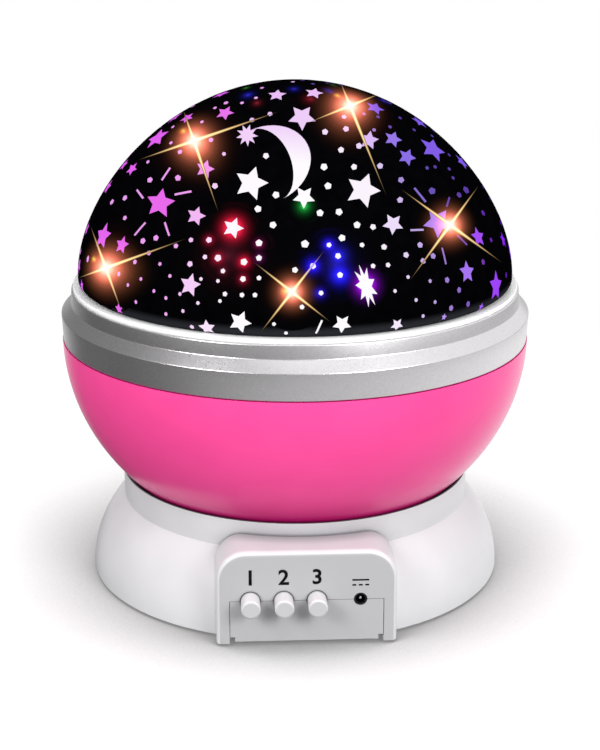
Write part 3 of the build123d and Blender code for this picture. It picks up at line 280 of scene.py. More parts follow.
@dataclass(frozen=True)
class FacedPlastic(MouldedPlastic):
    """Moulded plastic whose front face comes from a spark-eroded tool, so it is duller than the rest; its
    greyer colour is painted shade, as the upright face gets less light.
    """

    face_y_mm: float = -56.85   # in front of this the face begins
    face_edge_mm: float = 0.1   # and within this much more it is full
    # painted shade: the front face is greyed, as it gets less light than the rest
    face_colour: str = "#B2B2B4"
    face_roughness: float = 0.5
    gap_mm: float = 1.4         # painted shade: joints narrower than this are darkened, as little light gets into them
    gap_open: float = 0.80      # share of open sky at which the painted shade begins
    gap_shut: float = 0.35      # and at which it is full
    # colour of the painted shade in narrow joints
    gap_colour: str = "#4C4C4E"

    def on_face(self, tree: Tree, place: Socket) -> Socket:
        """Share of the face: 1 in front of its plane, 0 behind it.

        Args:
            tree: The material's nodes.
            place: Object coordinates.

        Returns:
            The share's socket.
        """
        depth = add_node(tree, "ShaderNodeSeparateXYZ", {"Vector": place})
        share = add_node(tree, "ShaderNodeMapRange", {
            "Value": depth.outputs["Y"], "From Min": self.face_y_mm * MM,
            "From Max": (self.face_y_mm - self.face_edge_mm) * MM,
        })
        return share.outputs["Result"]

    def patterns(self, tree: Tree, place: Socket) -> tuple[Socket, Socket]:
        """The moulded plastic's patterns, with the face greyed by painted shade.

        Args:
            tree: The material's nodes.
            place: Object coordinates.

        Returns:
            The colour, and the grain from 0 to 1.
        """
        body, grain = super().patterns(tree, place)
        colour = add_node(tree, "ShaderNodeMix", {
            0: self.on_face(tree, place), 6: body, 7: linear(self.face_colour),
        }, data_type="RGBA")
        return colour.outputs[2], grain

    def dullness(self, tree: Tree, place: Socket, grain: Socket) -> Socket:
        """Roughness, which is higher on the face.

        Args:
            tree: The material's nodes.
            place: Object coordinates.
            grain: The grain from 0 to 1, which the face hides.

        Returns:
            The roughness's socket.
        """
        rough = add_node(tree, "ShaderNodeMapRange", {
            "Value": self.on_face(tree, place), "To Min": self.roughness, "To Max": self.face_roughness,
        })
        return rough.outputs["Result"]

    def inputs(self, tree: Tree, place: Socket) -> dict[str, object]:
        """The moulded plastic's inputs, with painted shade in the narrow joints.

        Args:
            tree: The material's nodes.
            place: Object coordinates.

        Returns:
            Value or socket of each input of the shader.
        """
        given = super().inputs(tree, place)
        nearness = add_node(tree, "ShaderNodeAmbientOcclusion", {"Distance": self.gap_mm * MM},
                            samples=NEAR_RAYS)
        gap = add_node(tree, "ShaderNodeMapRange", {
            "Value": nearness.outputs["AO"], "From Min": self.gap_open, "From Max": self.gap_shut,
        })
        gap_shaded = add_node(tree, "ShaderNodeMix", {
            0: gap.outputs["Result"], 6: given["Base Color"], 7: linear(self.gap_colour),
        }, data_type="RGBA")
        return given | {"Base Color": gap_shaded.outputs[2]}


@dataclass(frozen=True)
class SatinMetal(Finish):
    """Bare or plated metal: rolled or drawn, with fine streaks along one direction."""

    name: str
    colour: str
    shade: str
    roughness: float = 0.3
    streak_mm: float = 0.25     # spacing of the streaks
    stretch: float = 12.0       # how much longer than wide a streak is
    unevenness: float = 0.15    # how far the streaks change the roughness, as a share of it

    def inputs(self, tree: Tree, place: Socket) -> dict[str, object]:
        """Metal with streaks in colour and roughness.

        Args:
            tree: The material's nodes.
            place: Object coordinates.

        Returns:
            Value or socket of each input of the shader.
        """
        stretched = add_node(tree, "ShaderNodeMapping", {
            "Vector": place, "Scale": (1 / self.stretch, 1 / self.stretch, 1.0),
        })
        streaks = add_node(tree, "ShaderNodeTexNoise", {
            "Vector": stretched.outputs["Vector"], "Scale": 1 / (self.streak_mm * MM), "Detail": 2.0,
        }).outputs["Fac"]
        colour = add_node(tree, "ShaderNodeValToRGB", {"Fac": streaks},
                          [(NOISE_LOW, linear(self.shade)), (NOISE_HIGH, linear(self.colour))])
        rough = add_node(tree, "ShaderNodeMapRange", {
            "Value": streaks, "From Min": NOISE_LOW, "From Max": NOISE_HIGH,
            "To Min": self.roughness * (1 - self.unevenness),
            "To Max": self.roughness * (1 + self.unevenness),
        })
        return {"Base Color": colour.outputs["Color"], "Roughness": rough.outputs["Result"], "Metallic": 1.0}


@dataclass(frozen=True)
class SilverPaint(Finish):
    """Silver lacquer sprayed on ABS: fine aluminium flakes under it scatter the gloss."""

    name: str
    colour: str = "#E4E2E4"
    shade: str = "#DCDADC"
    roughness: float = 0.29
    metallic: float = 0.92      # the clear lacquer over the flakes takes the rest
    flake_mm: float = 0.35      # real flakes are near 0.03 mm; drawn coarser so that they show
    unevenness: float = 0.06    # how far the flakes change the roughness, as a share of it

    def inputs(self, tree: Tree, place: Socket) -> dict[str, object]:
        """Metal whose flakes vary its colour and roughness from cell to cell.

        Args:
            tree: The material's nodes.
            place: Object coordinates.

        Returns:
            Value or socket of each input of the shader.
        """
        flakes = add_node(tree, "ShaderNodeTexVoronoi", {"Vector": place, "Scale": 1 / (self.flake_mm * MM)})
        bright = add_node(tree, "ShaderNodeSeparateColor", {"Color": flakes.outputs["Color"]})
        colour = add_node(tree, "ShaderNodeValToRGB", {"Fac": bright.outputs["Red"]},
                          [(0.0, linear(self.shade)), (1.0, linear(self.colour))])
        rough = add_node(tree, "ShaderNodeMapRange", {
            "Value": bright.outputs["Green"],
            "To Min": self.roughness * (1 - self.unevenness),
            "To Max": self.roughness * (1 + self.unevenness),
        })
        return {"Base Color": colour.outputs["Color"], "Roughness": rough.outputs["Result"],
                "Metallic": self.metallic}


@dataclass(frozen=True)
class DomeFilm(Finish):
    """Black ink on thin formed plastic film; the ink dulls the film's gloss, and its uninked rim is paler, a
    painted sheen of the curled edge's gloss.
    """

    name: str
    ink: str = "#040406"
    thin_ink: str = "#020203"
    # painted sheen: the rim's paler grey stands in for the gloss of the curled edge
    bare: str = "#27282C"
    rim_z_mm: float = 81.6      # at this height the film carries no ink
    fade_mm: float = 2.2        # above it the ink thickens over this
    mottle_mm: float = 3.0      # spacing of the ink's unevenness
    roughness: float = 0.3

    def inputs(self, tree: Tree, place: Socket) -> dict[str, object]:
        """Dull ink above the uninked rim, whose paler grey is a painted sheen, with a faint unevenness.

        Args:
            tree: The material's nodes.
            place: Object coordinates.

        Returns:
            Value or socket of each input of the shader.
        """
        height = add_node(tree, "ShaderNodeSeparateXYZ", {"Vector": place})
        bare = add_node(tree, "ShaderNodeMapRange", {
            "Value": height.outputs["Z"], "From Min": self.rim_z_mm * MM,
            "From Max": (self.rim_z_mm + self.fade_mm) * MM, "To Min": 1.0, "To Max": 0.0,
        }, interpolation_type="SMOOTHSTEP")
        mottle = add_node(tree, "ShaderNodeTexNoise", {"Vector": place, "Scale": 1 / (self.mottle_mm * MM)})
        ink = add_node(tree, "ShaderNodeValToRGB", {"Fac": mottle.outputs["Fac"]},
                       [(NOISE_LOW, linear(self.thin_ink)), (NOISE_HIGH, linear(self.ink))])
        colour = add_node(tree, "ShaderNodeMix", {
            0: bare.outputs["Result"], 6: ink.outputs["Color"], 7: linear(self.bare),
        }, data_type="RGBA")
        return {"Base Color": colour.outputs[2], "Roughness": self.roughness, "Specular IOR Level": 0.0}


@dataclass(frozen=True)
class LitPrint(Finish):
    """Clear windows in the ink, lit from inside, and the painted glare of glows and glints round them: their
    light comes from the marks' own attribute.
    """

    name: str
    ink: str = "#030304"
    roughness: float = 0.3

    def inputs(self, tree: Tree, place: Socket) -> dict[str, object]:
        """Black ink that glows by the stored light.

        Args:
            tree: The material's nodes.
            place: Object coordinates, which this finish doesn't need.

        Returns:
            Value or socket of each input of the shader.
        """
        light = add_node(tree, "ShaderNodeAttribute", attribute_name="light")
        return {"Base Color": linear(self.ink), "Roughness": self.roughness, "Specular IOR Level": 0.0,
                "Emission Color": light.outputs["Color"], "Emission Strength": 1.0}


@dataclass(frozen=True)
class Cushion(Finish):
    """Moulded rubber or cut foam: dull, with open pores."""

    name: str
    colour: str
    shade: str
    pore_mm: float
    pore_depth_mm: float
    pore_low: float = 0.1       # distance from a pore's middle, in its widths, of the full shade
    pore_high: float = 0.5      # and of the full colour
    roughness: float = 0.85

    def inputs(self, tree: Tree, place: Socket) -> dict[str, object]:
        """Pores in colour and bump.

        Args:
            tree: The material's nodes.
            place: Object coordinates.

        Returns:
            Value or socket of each input of the shader.
        """
        pores = add_node(tree, "ShaderNodeTexVoronoi",
                         {"Vector": place, "Scale": 1 / (self.pore_mm * MM)}).outputs["Distance"]
        colour = add_node(tree, "ShaderNodeValToRGB", {"Fac": pores},
                          [(self.pore_low, linear(self.shade)), (self.pore_high, linear(self.colour))])
        bump = add_node(tree, "ShaderNodeBump", {
            "Height": pores, "Distance": self.pore_depth_mm * MM, "Strength": 1.0,
        })
        return {"Base Color": colour.outputs["Color"], "Roughness": self.roughness,
                "Normal": bump.outputs["Normal"]}


@dataclass(frozen=True)
class CircuitBoard(Finish):
    """Glass-epoxy board under green solder mask: the weave and the copper tracks show faintly."""

    name: str
    mask: str = "#1C6B3A"
    track: str = "#2F8A4E"
    track_mm: float = 1.3
    track_width: float = 0.06   # as a share of the tracks' pattern
    weave_mm: float = 0.25
    weave_depth_mm: float = 0.01
    weave_strength: float = 0.5
    roughness: float = 0.25

    def inputs(self, tree: Tree, place: Socket) -> dict[str, object]:
        """Glossy mask, paler over the tracks.

        Args:
            tree: The material's nodes.
            place: Object coordinates.

        Returns:
            Value or socket of each input of the shader.
        """
        tracks = add_node(tree, "ShaderNodeTexBrick", {
            "Vector": place, "Color1": linear(self.mask), "Color2": linear(self.mask),
            "Mortar": linear(self.track), "Scale": 1 / (2 * self.track_mm * MM),
            "Mortar Size": self.track_width,
        })
        weave = add_node(tree, "ShaderNodeTexWave", {"Vector": place, "Scale": 1 / (self.weave_mm * MM)})
        bump = add_node(tree, "ShaderNodeBump", {
            "Height": weave.outputs["Fac"], "Distance": self.weave_depth_mm * MM,
            "Strength": self.weave_strength,
        })
        return {"Base Color": tracks.outputs["Color"], "Roughness": self.roughness,
                "Normal": bump.outputs["Normal"]}


@dataclass(frozen=True)
class CellJacket(Finish):
    """Printed foil sleeve of a dry cell: black with a copper band near its positive end."""

    name: str
    body: str = "#16171A"
    body_shade: str = "#101114"
    band: str = "#B87440"
    band_shade: str = "#A86838"
    cell_length_mm: float = 44.5
    band_share: float = 0.28
    band_edge_mm: float = 0.2   # the two colours meet within this
    foil_mm: float = 1.5        # spacing of the foil's unevenness
    roughness: float = 0.28
    metallic: float = 0.6       # the lacquer over the foil takes the rest

    def inputs(self, tree: Tree, place: Socket) -> dict[str, object]:
        """Foil whose two colours meet at a line across the cell.

        Args:
            tree: The material's nodes.
            place: Object coordinates.

        Returns:
            Value or socket of each input of the shader.
        """
        along = add_node(tree, "ShaderNodeSeparateXYZ", {"Vector": place})
        edge = (0.5 - self.band_share) * self.cell_length_mm * MM
        banded = add_node(tree, "ShaderNodeMapRange", {
            "Value": along.outputs["X"], "From Min": edge, "From Max": edge + self.band_edge_mm * MM,
        })
        foil = add_node(tree, "ShaderNodeTexNoise", {"Vector": place, "Scale": 1 / (self.foil_mm * MM)})
        dark, copper = (
            add_node(tree, "ShaderNodeValToRGB", {"Fac": foil.outputs["Fac"]},
                     [(NOISE_LOW, linear(low)), (NOISE_HIGH, linear(high))]).outputs["Color"]
            for low, high in ((self.body_shade, self.body), (self.band_shade, self.band))
        )
        colour = add_node(tree, "ShaderNodeMix", {0: banded.outputs["Result"], 6: dark, 7: copper},
                          data_type="RGBA")
        return {"Base Color": colour.outputs[2], "Roughness": self.roughness, "Metallic": self.metallic}


@dataclass(frozen=True)
class LedLens(Finish):
    """Cast epoxy lens of a light-emitting diode, tinted and lit from within, brightest at its crown."""

    name: str
    tint: str
    glow: str
    crown_z_mm: float = 84.2
    depth_mm: float = 7.0       # the glow fades down to this far under the crown
    roughness: float = 0.06
    ior: float = 1.54           # of clear epoxy
    strength: float = 0.5       # of the glow

    def inputs(self, tree: Tree, place: Socket) -> dict[str, object]:
        """Tinted gloss with a glow that rises towards the crown.

        Args:
            tree: The material's nodes.
            place: Object coordinates.

        Returns:
            Value or socket of each input of the shader.
        """
        height = add_node(tree, "ShaderNodeSeparateXYZ", {"Vector": place})
        rise = add_node(tree, "ShaderNodeMapRange", {
            "Value": height.outputs["Z"], "From Min": (self.crown_z_mm - self.depth_mm) * MM,
            "From Max": self.crown_z_mm * MM,
        })
        glow = add_node(tree, "ShaderNodeValToRGB", {"Fac": rise.outputs["Result"]},
                        [(0.0, linear(self.tint)), (1.0, linear(self.glow))]).outputs["Color"]
        return {"Base Color": glow, "Roughness": self.roughness, "IOR": self.ior, "Emission Color": glow,
                "Emission Strength": self.strength}


# ---- the finishes of this lamp ----

# injection-moulded ABS: white with a slight grey, polished in the tool so that it shines softly
WHITE_ABS = MouldedPlastic("white_abs", "#D8D8DA", "#D3D3D6", roughness=0.28, gloss=0.3)
# the same ABS, the panel's front face spark-eroded and greyed by painted shade, with painted crease shade on
# the collar under the bowl
SHELL_ABS = FacedPlastic("shell_abs", "#D8D8DA", "#D3D3D6", roughness=0.28, gloss=0.2, crease_mm=7.0,
                         crease_low_mm=20.0, crease_colour="#929296")
# the buttons' front faces are greyed by the same painted shade
BUTTON_ABS = FacedPlastic("button_abs", "#DCDCDE", "#D8D8DA", roughness=0.3, gloss=0.3, face_y_mm=-62.45,
                          face_colour="#BEBEC0")
# the lip is a brighter, glossy white; the reflector inside is matt so that it spreads the light
LIP_WHITE = MouldedPlastic("glossy_white_abs", "#F8F8F8", "#F4F4F5", roughness=0.18)
REFLECTOR_WHITE = MouldedPlastic("matt_white_polystyrene", "#F0F0EE", "#EAEAE8", roughness=0.55)
# uncoloured ABS of the hidden frame pieces: creamy and dull
INNER_ABS = MouldedPlastic("natural_abs", "#DAD8D0", "#D2D0C8", roughness=0.45)
# gloss ABS coloured through with hot pink pigment; painted shade darkens it where other surfaces come near,
# as at its bottom over the base
PINK_ABS = MouldedPlastic("pink_abs", "#FF4E9E", "#FB4A9A", roughness=0.22, gloss=0.30, crease_mm=20.0)
# bodies and plungers of the switches, and the socket
BLACK_ABS = MouldedPlastic("black_abs", "#08080A", "#050506", roughness=0.4)
RED_ACETAL = MouldedPlastic("red_acetal", "#B8281E", "#A8221A", roughness=0.35)
# gears are moulded in acetal, which is waxy to the eye
WHITE_ACETAL = MouldedPlastic("natural_acetal", "#EAE8E0", "#E0DED6", roughness=0.38, ior=1.48)
# filled epoxy over a chip, laser-dulled
CHIP_EPOXY = MouldedPlastic("chip_epoxy", "#17171A", "#101012", roughness=0.55, grain_mm=0.2,
                            grain_depth_mm=0.01)
# extruded soft vinyl round copper strands
LEAD_VINYL = MouldedPlastic("lead_vinyl", "#1A1A1C", "#141416", roughness=0.4, grain_mm=0.5)
# pad-printed ink: a thin dull black layer
PANEL_INK = MouldedPlastic("pad_print_ink", "#060607", "#040405", roughness=0.6, grain_mm=0.2, gloss=0.1)
# ABS sprayed with silver lacquer
SILVER_PAINT = SilverPaint("sprayed_silver")
# the dome's film, and the lit print on it with painted glare round the print
PRINTED_FILM = DomeFilm("black_printed_film")
LIT_PRINT = LitPrint("lit_print_and_painted_glare")
# zinc-plated steel screws, springs and contacts; handling brushes the plating
SCREW_STEEL = SatinMetal("zinc_plated_steel", "#C4C6C8", "#A9ABAE", roughness=0.3)
# rolled sheet, drawn and nickel-plated can, and cut brass
BRACKET_STEEL = SatinMetal("rolled_steel", "#B4B6B8", "#9B9DA0", roughness=0.35)
MOTOR_NICKEL = SatinMetal("nickel_plated_can", "#C9C4B8", "#B0ABA0", roughness=0.22)
PINION_BRASS = SatinMetal("cut_brass", "#D8B562", "#B89447", roughness=0.25)
# moulded rubber feet, and the foam ring under the dome with its cut cells open
FOOT_RUBBER = Cushion("moulded_rubber", "#3A3A3C", "#2C2C2E", 0.5, 0.02)
SEAT_FOAM = Cushion("closed_cell_foam", "#4A4A4D", "#303033", 0.4, 0.08)

SLOT_FINISHES = {
    "white_abs": WHITE_ABS, "lip_white": LIP_WHITE, "pink_abs": PINK_ABS, "silver_paint": SILVER_PAINT,
    "printed_film": PRINTED_FILM, "reflector_white": REFLECTOR_WHITE,
    "inner_abs": INNER_ABS, "soft_rubber": FOOT_RUBBER, "foam": SEAT_FOAM, "screw_steel": SCREW_STEEL,
    "bracket_steel": BRACKET_STEEL, "motor_nickel": MOTOR_NICKEL, "pinion_brass": PINION_BRASS,
    "gear_acetal": WHITE_ACETAL, "cell_jacket": CellJacket("cell_jacket"),
    "board_green": CircuitBoard("green_board"), "switch_black": BLACK_ABS, "plunger_red": RED_ACETAL,
    "chip_black": CHIP_EPOXY, "led_warm": LedLens("warm_led", "#E8D8A8", "#FFE9B8"),
    "led_red": LedLens("red_led", "#8A1010", "#FF3A2E"),
    "led_green": LedLens("green_led", "#0E6A22", "#4CF060"),
    "led_blue": LedLens("blue_led", "#101C8A", "#4A5CFF"), "lead_black": LEAD_VINYL,
}
NODE_FINISHES = {
    "base_shell": SHELL_ABS, "base_plate": SHELL_ABS, "night_light_button": BUTTON_ABS,
    "colour_button": BUTTON_ABS, "rotation_button": BUTTON_ABS,
}


# ---- modelling helpers ----

def activate(*pieces: Piece) -> None:
    """Selects these pieces alone and makes the first the active one.

    Args:
        *pieces: The pieces, of which at least one is given.
    """
    bpy.ops.object.select_all(action="DESELECT")
    for piece in pieces:
        piece.select_set(True)
    bpy.context.view_layer.objects.active = pieces[0]


def settle(piece: Piece, smooth_angle: float = 35.0) -> Piece:
    """Puts a piece's place into its mesh and shades it smooth.

    Args:
        piece: The piece, in object mode.
        smooth_angle: Edges sharper than this many degrees stay sharp.

    Returns:
        The same piece, at the origin, unturned and unscaled.
    """
    activate(piece)
    bpy.ops.object.transform_apply(location=True, rotation=True, scale=True)
    bpy.ops.object.shade_smooth_by_angle(angle=math.radians(smooth_angle))
    return piece


def dress(piece: Piece, finish: Finish, body: str) -> None:
    """Gives a new piece its finish, as its one material, and the body that it rides on.

    Args:
        piece: The finished piece.
        finish: Its finish.
        body: Name of the moving body that carries it.
    """
    piece.data.materials.clear()
    piece.data.materials.append(finish.material())
    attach(piece, body)
    log.info("%s: %d faces on %s", piece.name, len(piece.data.polygons), body)


def join(pieces: Sequence[Piece], name: str) -> Piece:
    """Joins pieces into the first of them.

    Args:
        pieces: The pieces.
        name: What the joined piece is called.

    Returns:
        The joined piece.
    """
    activate(*pieces)
    bpy.ops.object.join()
    pieces[0].name = name
    return pieces[0]


def edit_whole(piece: Piece, *steps: Callable[[], object]) -> None:
    """Does steps of edit mode on a piece.

    Args:
        piece: The piece, in object mode.
        *steps: Operators, each called with everything selected.
    """
    activate(piece)
    bpy.ops.object.mode_set(mode="EDIT")
    for step in steps:
        bpy.ops.mesh.select_all(action="SELECT")
        step()
    bpy.ops.object.mode_set(mode="OBJECT")


def weld(piece: Piece) -> None:
    """Merges the vertices that meet and turns the faces outward."""
    edit_whole(piece, lambda: bpy.ops.mesh.remove_doubles(threshold=WELD),
               lambda: bpy.ops.mesh.normals_make_consistent(inside=False))


def subdivide(piece: Piece, cuts: int) -> None:
    """Divides every edge of a piece by a number of cuts."""
    edit_whole(piece, lambda: bpy.ops.mesh.subdivide(number_cuts=cuts))


def resize_where(piece: Piece, wanted: Test, factors: tuple[float, float, float]) -> None:
    """Scales a part of a piece about the origin.

    Args:
        piece: The piece, in object mode.
        wanted: Test of a vertex's place; the vertices that pass are scaled.
        factors: How much they are scaled along each axis.
    """
    activate(piece)
    for part in (*piece.data.polygons, *piece.data.edges):
        part.select = False
    for vertex in piece.data.vertices:
        vertex.select = wanted(vertex.co)
    bpy.ops.object.mode_set(mode="EDIT")
    bpy.ops.mesh.select_mode(type="VERT")
    bpy.ops.transform.resize(value=factors, center_override=(0, 0, 0))
    bpy.ops.object.mode_set(mode="OBJECT")


def push_out(piece: Piece, wanted: Test, radius: float) -> None:
    """Moves the vertices that pass a test out from the upright axis, all to one radius.

    Args:
        piece: The piece, in object mode.
        wanted: Test of a vertex's place; those that pass stand at one radius before.
        radius: Where they go.
    """
    first = next(vertex.co for vertex in piece.data.vertices if wanted(vertex.co))
    grow = radius / math.hypot(first.x, first.y)
    resize_where(piece, wanted, (grow, grow, 1))
    settle(piece)


def by_tab(place: Vector, half: float) -> bool:
    """True where a place is within half degrees of the middle of one of the lip's tabs."""
    bearing = math.degrees(math.atan2(place.y, place.x)) % 360
    return any(abs((bearing - middle + 180) % 360 - 180) < half for middle in TAB_BEARINGS)


def rounded(corners: Sequence[tuple[float, float, float]], steps: int = 4) -> list[tuple[float, float]]:
    """Closed profile with each corner rounded by its own radius.

    Args:
        corners: (radius from the axis, height, rounding) of each corner, in metres.
        steps: Spans of each rounding.

    Returns:
        The (radius, height) places of the profile, whose last place repeats its first.
    """
    places: list[tuple[float, float]] = []
    count = len(corners)
    for index, (x, z, rounding) in enumerate(corners):
        here = Vector((x, z))
        back = (Vector(corners[index - 1][:2]) - here).normalized()
        ahead = (Vector(corners[(index + 1) % count][:2]) - here).normalized()
        if rounding == 0:
            places.append((x, z))
            continue
        half = back.angle(ahead) / 2
        middle = here + (back + ahead).normalized() * (rounding / math.sin(half))
        start = here + back * (rounding / math.tan(half)) - middle
        end = here + ahead * (rounding / math.tan(half)) - middle
        for step in range(steps + 1):
            spoke = middle + start.slerp(end, step / steps).normalized() * rounding
            places.append((spoke.x, spoke.y))
    places.append(places[0])
    return places


def spun(name: str, profile: Sequence[tuple[float, float]], steps: int = 192) -> Piece:
    """Piece of revolution about the upright axis.

    A small plane is drawn together to one vertex at the profile's start, drawn out along the profile and
    spun a full turn.

    Args:
        name: Name of the piece.
        profile: (radius, height) places in metres; a closed profile ends where it starts.
        steps: Spans of the turn.

    Returns:
        The new piece.
    """
    bpy.ops.mesh.primitive_plane_add(size=MM, location=(profile[0][0], 0, profile[0][1]))
    piece = bpy.context.object
    piece.name = name
    bpy.ops.object.mode_set(mode="EDIT")
    bpy.ops.mesh.merge(type="CENTER")
    for (near, low), (far, high) in zip(profile, profile[1:]):
        bpy.ops.mesh.extrude_region_move(TRANSFORM_OT_translate={"value": (far - near, 0, high - low)})
    bpy.ops.mesh.select_all(action="SELECT")
    bpy.ops.mesh.spin(steps=steps, angle=2 * math.pi, center=(0, 0, 0), axis=(0, 0, 1))
    bpy.ops.object.mode_set(mode="OBJECT")
    weld(piece)
    return settle(piece)


# ---- the studio ----

@dataclass
class Studio:
    """White floor and surroundings, plain soft light and the camera."""

    camera_distance: float = 0.450
    camera_height: float = 0.1966
    camera_azimuth: float = math.radians(-3.0)
    camera_pitch: float = math.radians(72.31)
    focal_px: float = 1728.0            # focal length in pixels of the view
    axis_px: float = 295.0              # the object's axis stands at this column
    floor_half: float = 4.0
    soft_light: float = 0.66            # even light from all round
    bounce_grey: str = "#8C8C8C"        # what the floor gives back to the object
    shadow_reach: float = 0.060         # how far from what stands on it the floor is shaded
    shadow: tuple = ((0.42, "#9A9A9A"), (0.86, "#FCFCFC"))  # open share of the sky, and the paper there
    paper_lift: float = 1.12            # glow that keeps the open paper white
    lift_share: float = 0.5             # of that glow in what the paper shows
    paper_fade: tuple = (0.08, 0.30)    # distances from the axis between which the paper turns pure white
    shine_fade: tuple = (0.24, 0.42)    # distances between the near and the far floor of near_shine
    near_shine: tuple = (1.06, 0.50)    # how much of it the gloss sees of the near and of the far floor
    floor_shine: tuple = (              # bearing from the front in degrees, and how bright the gloss sees it
        (-180, 1.00), (-152, 0.90), (-140, 0.50), (-122, 0.10), (-80, 0.06), (-55, 0.12), (-33, 0.28),
        (0, 0.49), (31, 0.63), (72, 0.86), (102, 1.00), (145, 1.00), (180, 0.80),
    )
    wall_shine: tuple = (               # how far right a direction points, and how bright the gloss sees it
        (-0.80, 0.12), (-0.70, 0.13), (-0.55, 0.15), (-0.35, 0.29), (0.0, 0.45), (0.25, 0.58), (0.5, 0.96),
    )
    lamp_target: tuple = (0, 0, 0.06)
    lamps: tuple = (                    # name, place, diameter, watts
        ("right_softbox", (0.66, -0.96, 0.64), 0.60, 10.8),
        ("left_softbox", (-0.86, -0.78, 0.76), 0.60, 9.0),
        ("top_softbox", (0.00, -0.15, 1.20), 0.90, 2.6),
    )

    def build(self) -> None:
        """Makes the camera, the floor, the world and the lamps."""
        self.place_camera()
        self.lay_floor()
        self.light_world()
        self.hang_lamps()
        bpy.context.scene.view_settings.view_transform = "Standard"

    def eye(self) -> Vector:
        """Place of the camera."""
        turn = Matrix.Rotation(self.camera_azimuth, 3, "Z")
        return turn @ Vector((0, -self.camera_distance, self.camera_height))

    def sight(self, across: float, down: float) -> tuple[Vector, Vector, Vector]:
        """Line of sight through a pixel.

        Args:
            across: Column of the pixel.
            down: Row of the pixel.

        Returns:
            The camera's place, the unit direction of the sight line and the camera's upward direction.
        """
        turn = Euler((self.camera_pitch, 0, self.camera_azimuth)).to_matrix()
        ahead = Vector(((across - self.axis_px) / self.focal_px,
                        (VIEW_HEIGHT / 2 - down) / self.focal_px, -1))
        return self.eye(), (turn @ ahead).normalized(), turn @ Vector((0, 1, 0))

    def place_camera(self) -> None:
        """Camera in front of the panel, a little to its left, looking down at the dome."""
        data = bpy.data.cameras.new("camera")
        data.sensor_width = SENSOR
        data.lens = SENSOR * self.focal_px / VIEW_HEIGHT
        data.shift_x = (VIEW_WIDTH / 2 - self.axis_px) / VIEW_HEIGHT
        camera = bpy.data.objects.new("camera", data)
        bpy.context.scene.collection.objects.link(camera)
        camera.location = self.eye()
        camera.rotation_euler = Euler((self.camera_pitch, 0, self.camera_azimuth))
        bpy.context.scene.camera = camera

    @staticmethod
    def by_ray(tree: Tree, eye: Socket, gloss: Socket, rest: Socket) -> Socket:
        """Shader that differs between the eye, the gloss and the plain light.

        Args:
            tree: The nodes of the floor or the world.
            eye: What the camera sees.
            gloss: What shows in gloss.
            rest: What lights the object.

        Returns:
            The shader's socket.
        """
        rays = add_node(tree, "ShaderNodeLightPath").outputs
        seen = add_node(tree, "ShaderNodeMath", {0: rays["Is Camera Ray"], 1: rays["Is Transmission Ray"]},
                        operation="ADD")
        unseen = add_node(tree, "ShaderNodeMixShader", {0: rays["Is Glossy Ray"], 1: rest, 2: gloss})
        mix = add_node(tree, "ShaderNodeMixShader", {0: seen.outputs[0], 1: unseen.outputs[0], 2: eye})
        return mix.outputs[0]

    def floor_seen(self, tree: Tree, away: Socket) -> Socket:
        """Paper that takes the shadow of what stands on it, and pure white further off.

        Args:
            tree: The floor's nodes.
            away: Distance from the object's axis.

        Returns:
            The shader's socket.
        """
        shut_in = add_node(tree, "ShaderNodeAmbientOcclusion", {"Distance": self.shadow_reach},
                           samples=NEAR_RAYS)
        shade = add_node(tree, "ShaderNodeValToRGB", {"Fac": shut_in.outputs["AO"]},
                         [(share, linear(colour)) for share, colour in self.shadow]).outputs["Color"]
        paper = add_node(tree, "ShaderNodeBsdfDiffuse", {"Color": shade})
        lift = add_node(tree, "ShaderNodeEmission", {"Color": shade, "Strength": self.paper_lift})
        near = add_node(tree, "ShaderNodeMixShader", {
            0: self.lift_share, 1: paper.outputs[0], 2: lift.outputs[0],
        })
        far = add_node(tree, "ShaderNodeMapRange", {
            "Value": away, "From Min": self.paper_fade[0], "From Max": self.paper_fade[1],
        }, interpolation_type="SMOOTHSTEP")
        plain = add_node(tree, "ShaderNodeEmission", {"Color": (1, 1, 1, 1)})
        white = add_node(tree, "ShaderNodeMixShader", {
            0: far.outputs["Result"], 1: near.outputs[0], 2: plain.outputs[0],
        })
        return white.outputs[0]

    def floor_gloss(self, tree: Tree, place: Socket, away: Socket) -> Socket:
        """Floor as the gloss sees it, shaded round the object from a dark left to a white right.

        Args:
            tree: The floor's nodes.
            place: Object coordinates.
            away: Distance from the object's axis.

        Returns:
            The shader's socket.
        """
        ways = add_node(tree, "ShaderNodeSeparateXYZ", {"Vector": place})
        front = add_node(tree, "ShaderNodeMath", {0: ways.outputs["Y"], 1: -1.0}, operation="MULTIPLY")
        bearing = add_node(tree, "ShaderNodeMath", {0: ways.outputs["X"], 1: front.outputs[0]},
                           operation="ARCTAN2")
        turn = add_node(tree, "ShaderNodeMapRange", {
            "Value": bearing.outputs[0], "From Min": -math.pi, "From Max": math.pi,
        })
        bright = add_node(tree, "ShaderNodeValToRGB", {"Fac": turn.outputs["Result"]}, [
            ((degrees + 180) / 360, (grey, grey, grey, 1)) for degrees, grey in self.floor_shine
        ])
        fading = add_node(tree, "ShaderNodeMapRange", {
            "Value": away, "From Min": self.shine_fade[0], "From Max": self.shine_fade[1],
            "To Min": self.near_shine[0], "To Max": self.near_shine[1],
        })
        shine = add_node(tree, "ShaderNodeEmission", {
            "Color": bright.outputs["Color"], "Strength": fading.outputs["Result"],
        })
        return shine.outputs[0]

    def lay_floor(self) -> None:
        """Large white floor that keeps the object's shadow; it is clear from below, for the underside."""
        bpy.ops.mesh.primitive_plane_add(size=2 * self.floor_half)
        floor = bpy.context.object
        floor.name = "floor"
        material = bpy.data.materials.new("white_floor_paper")
        material.use_nodes = True
        tree = material.node_tree
        tree.nodes.clear()
        place = add_node(tree, "ShaderNodeTexCoord").outputs["Object"]
        away = add_node(tree, "ShaderNodeVectorMath", {0: place}, operation="LENGTH").outputs["Value"]
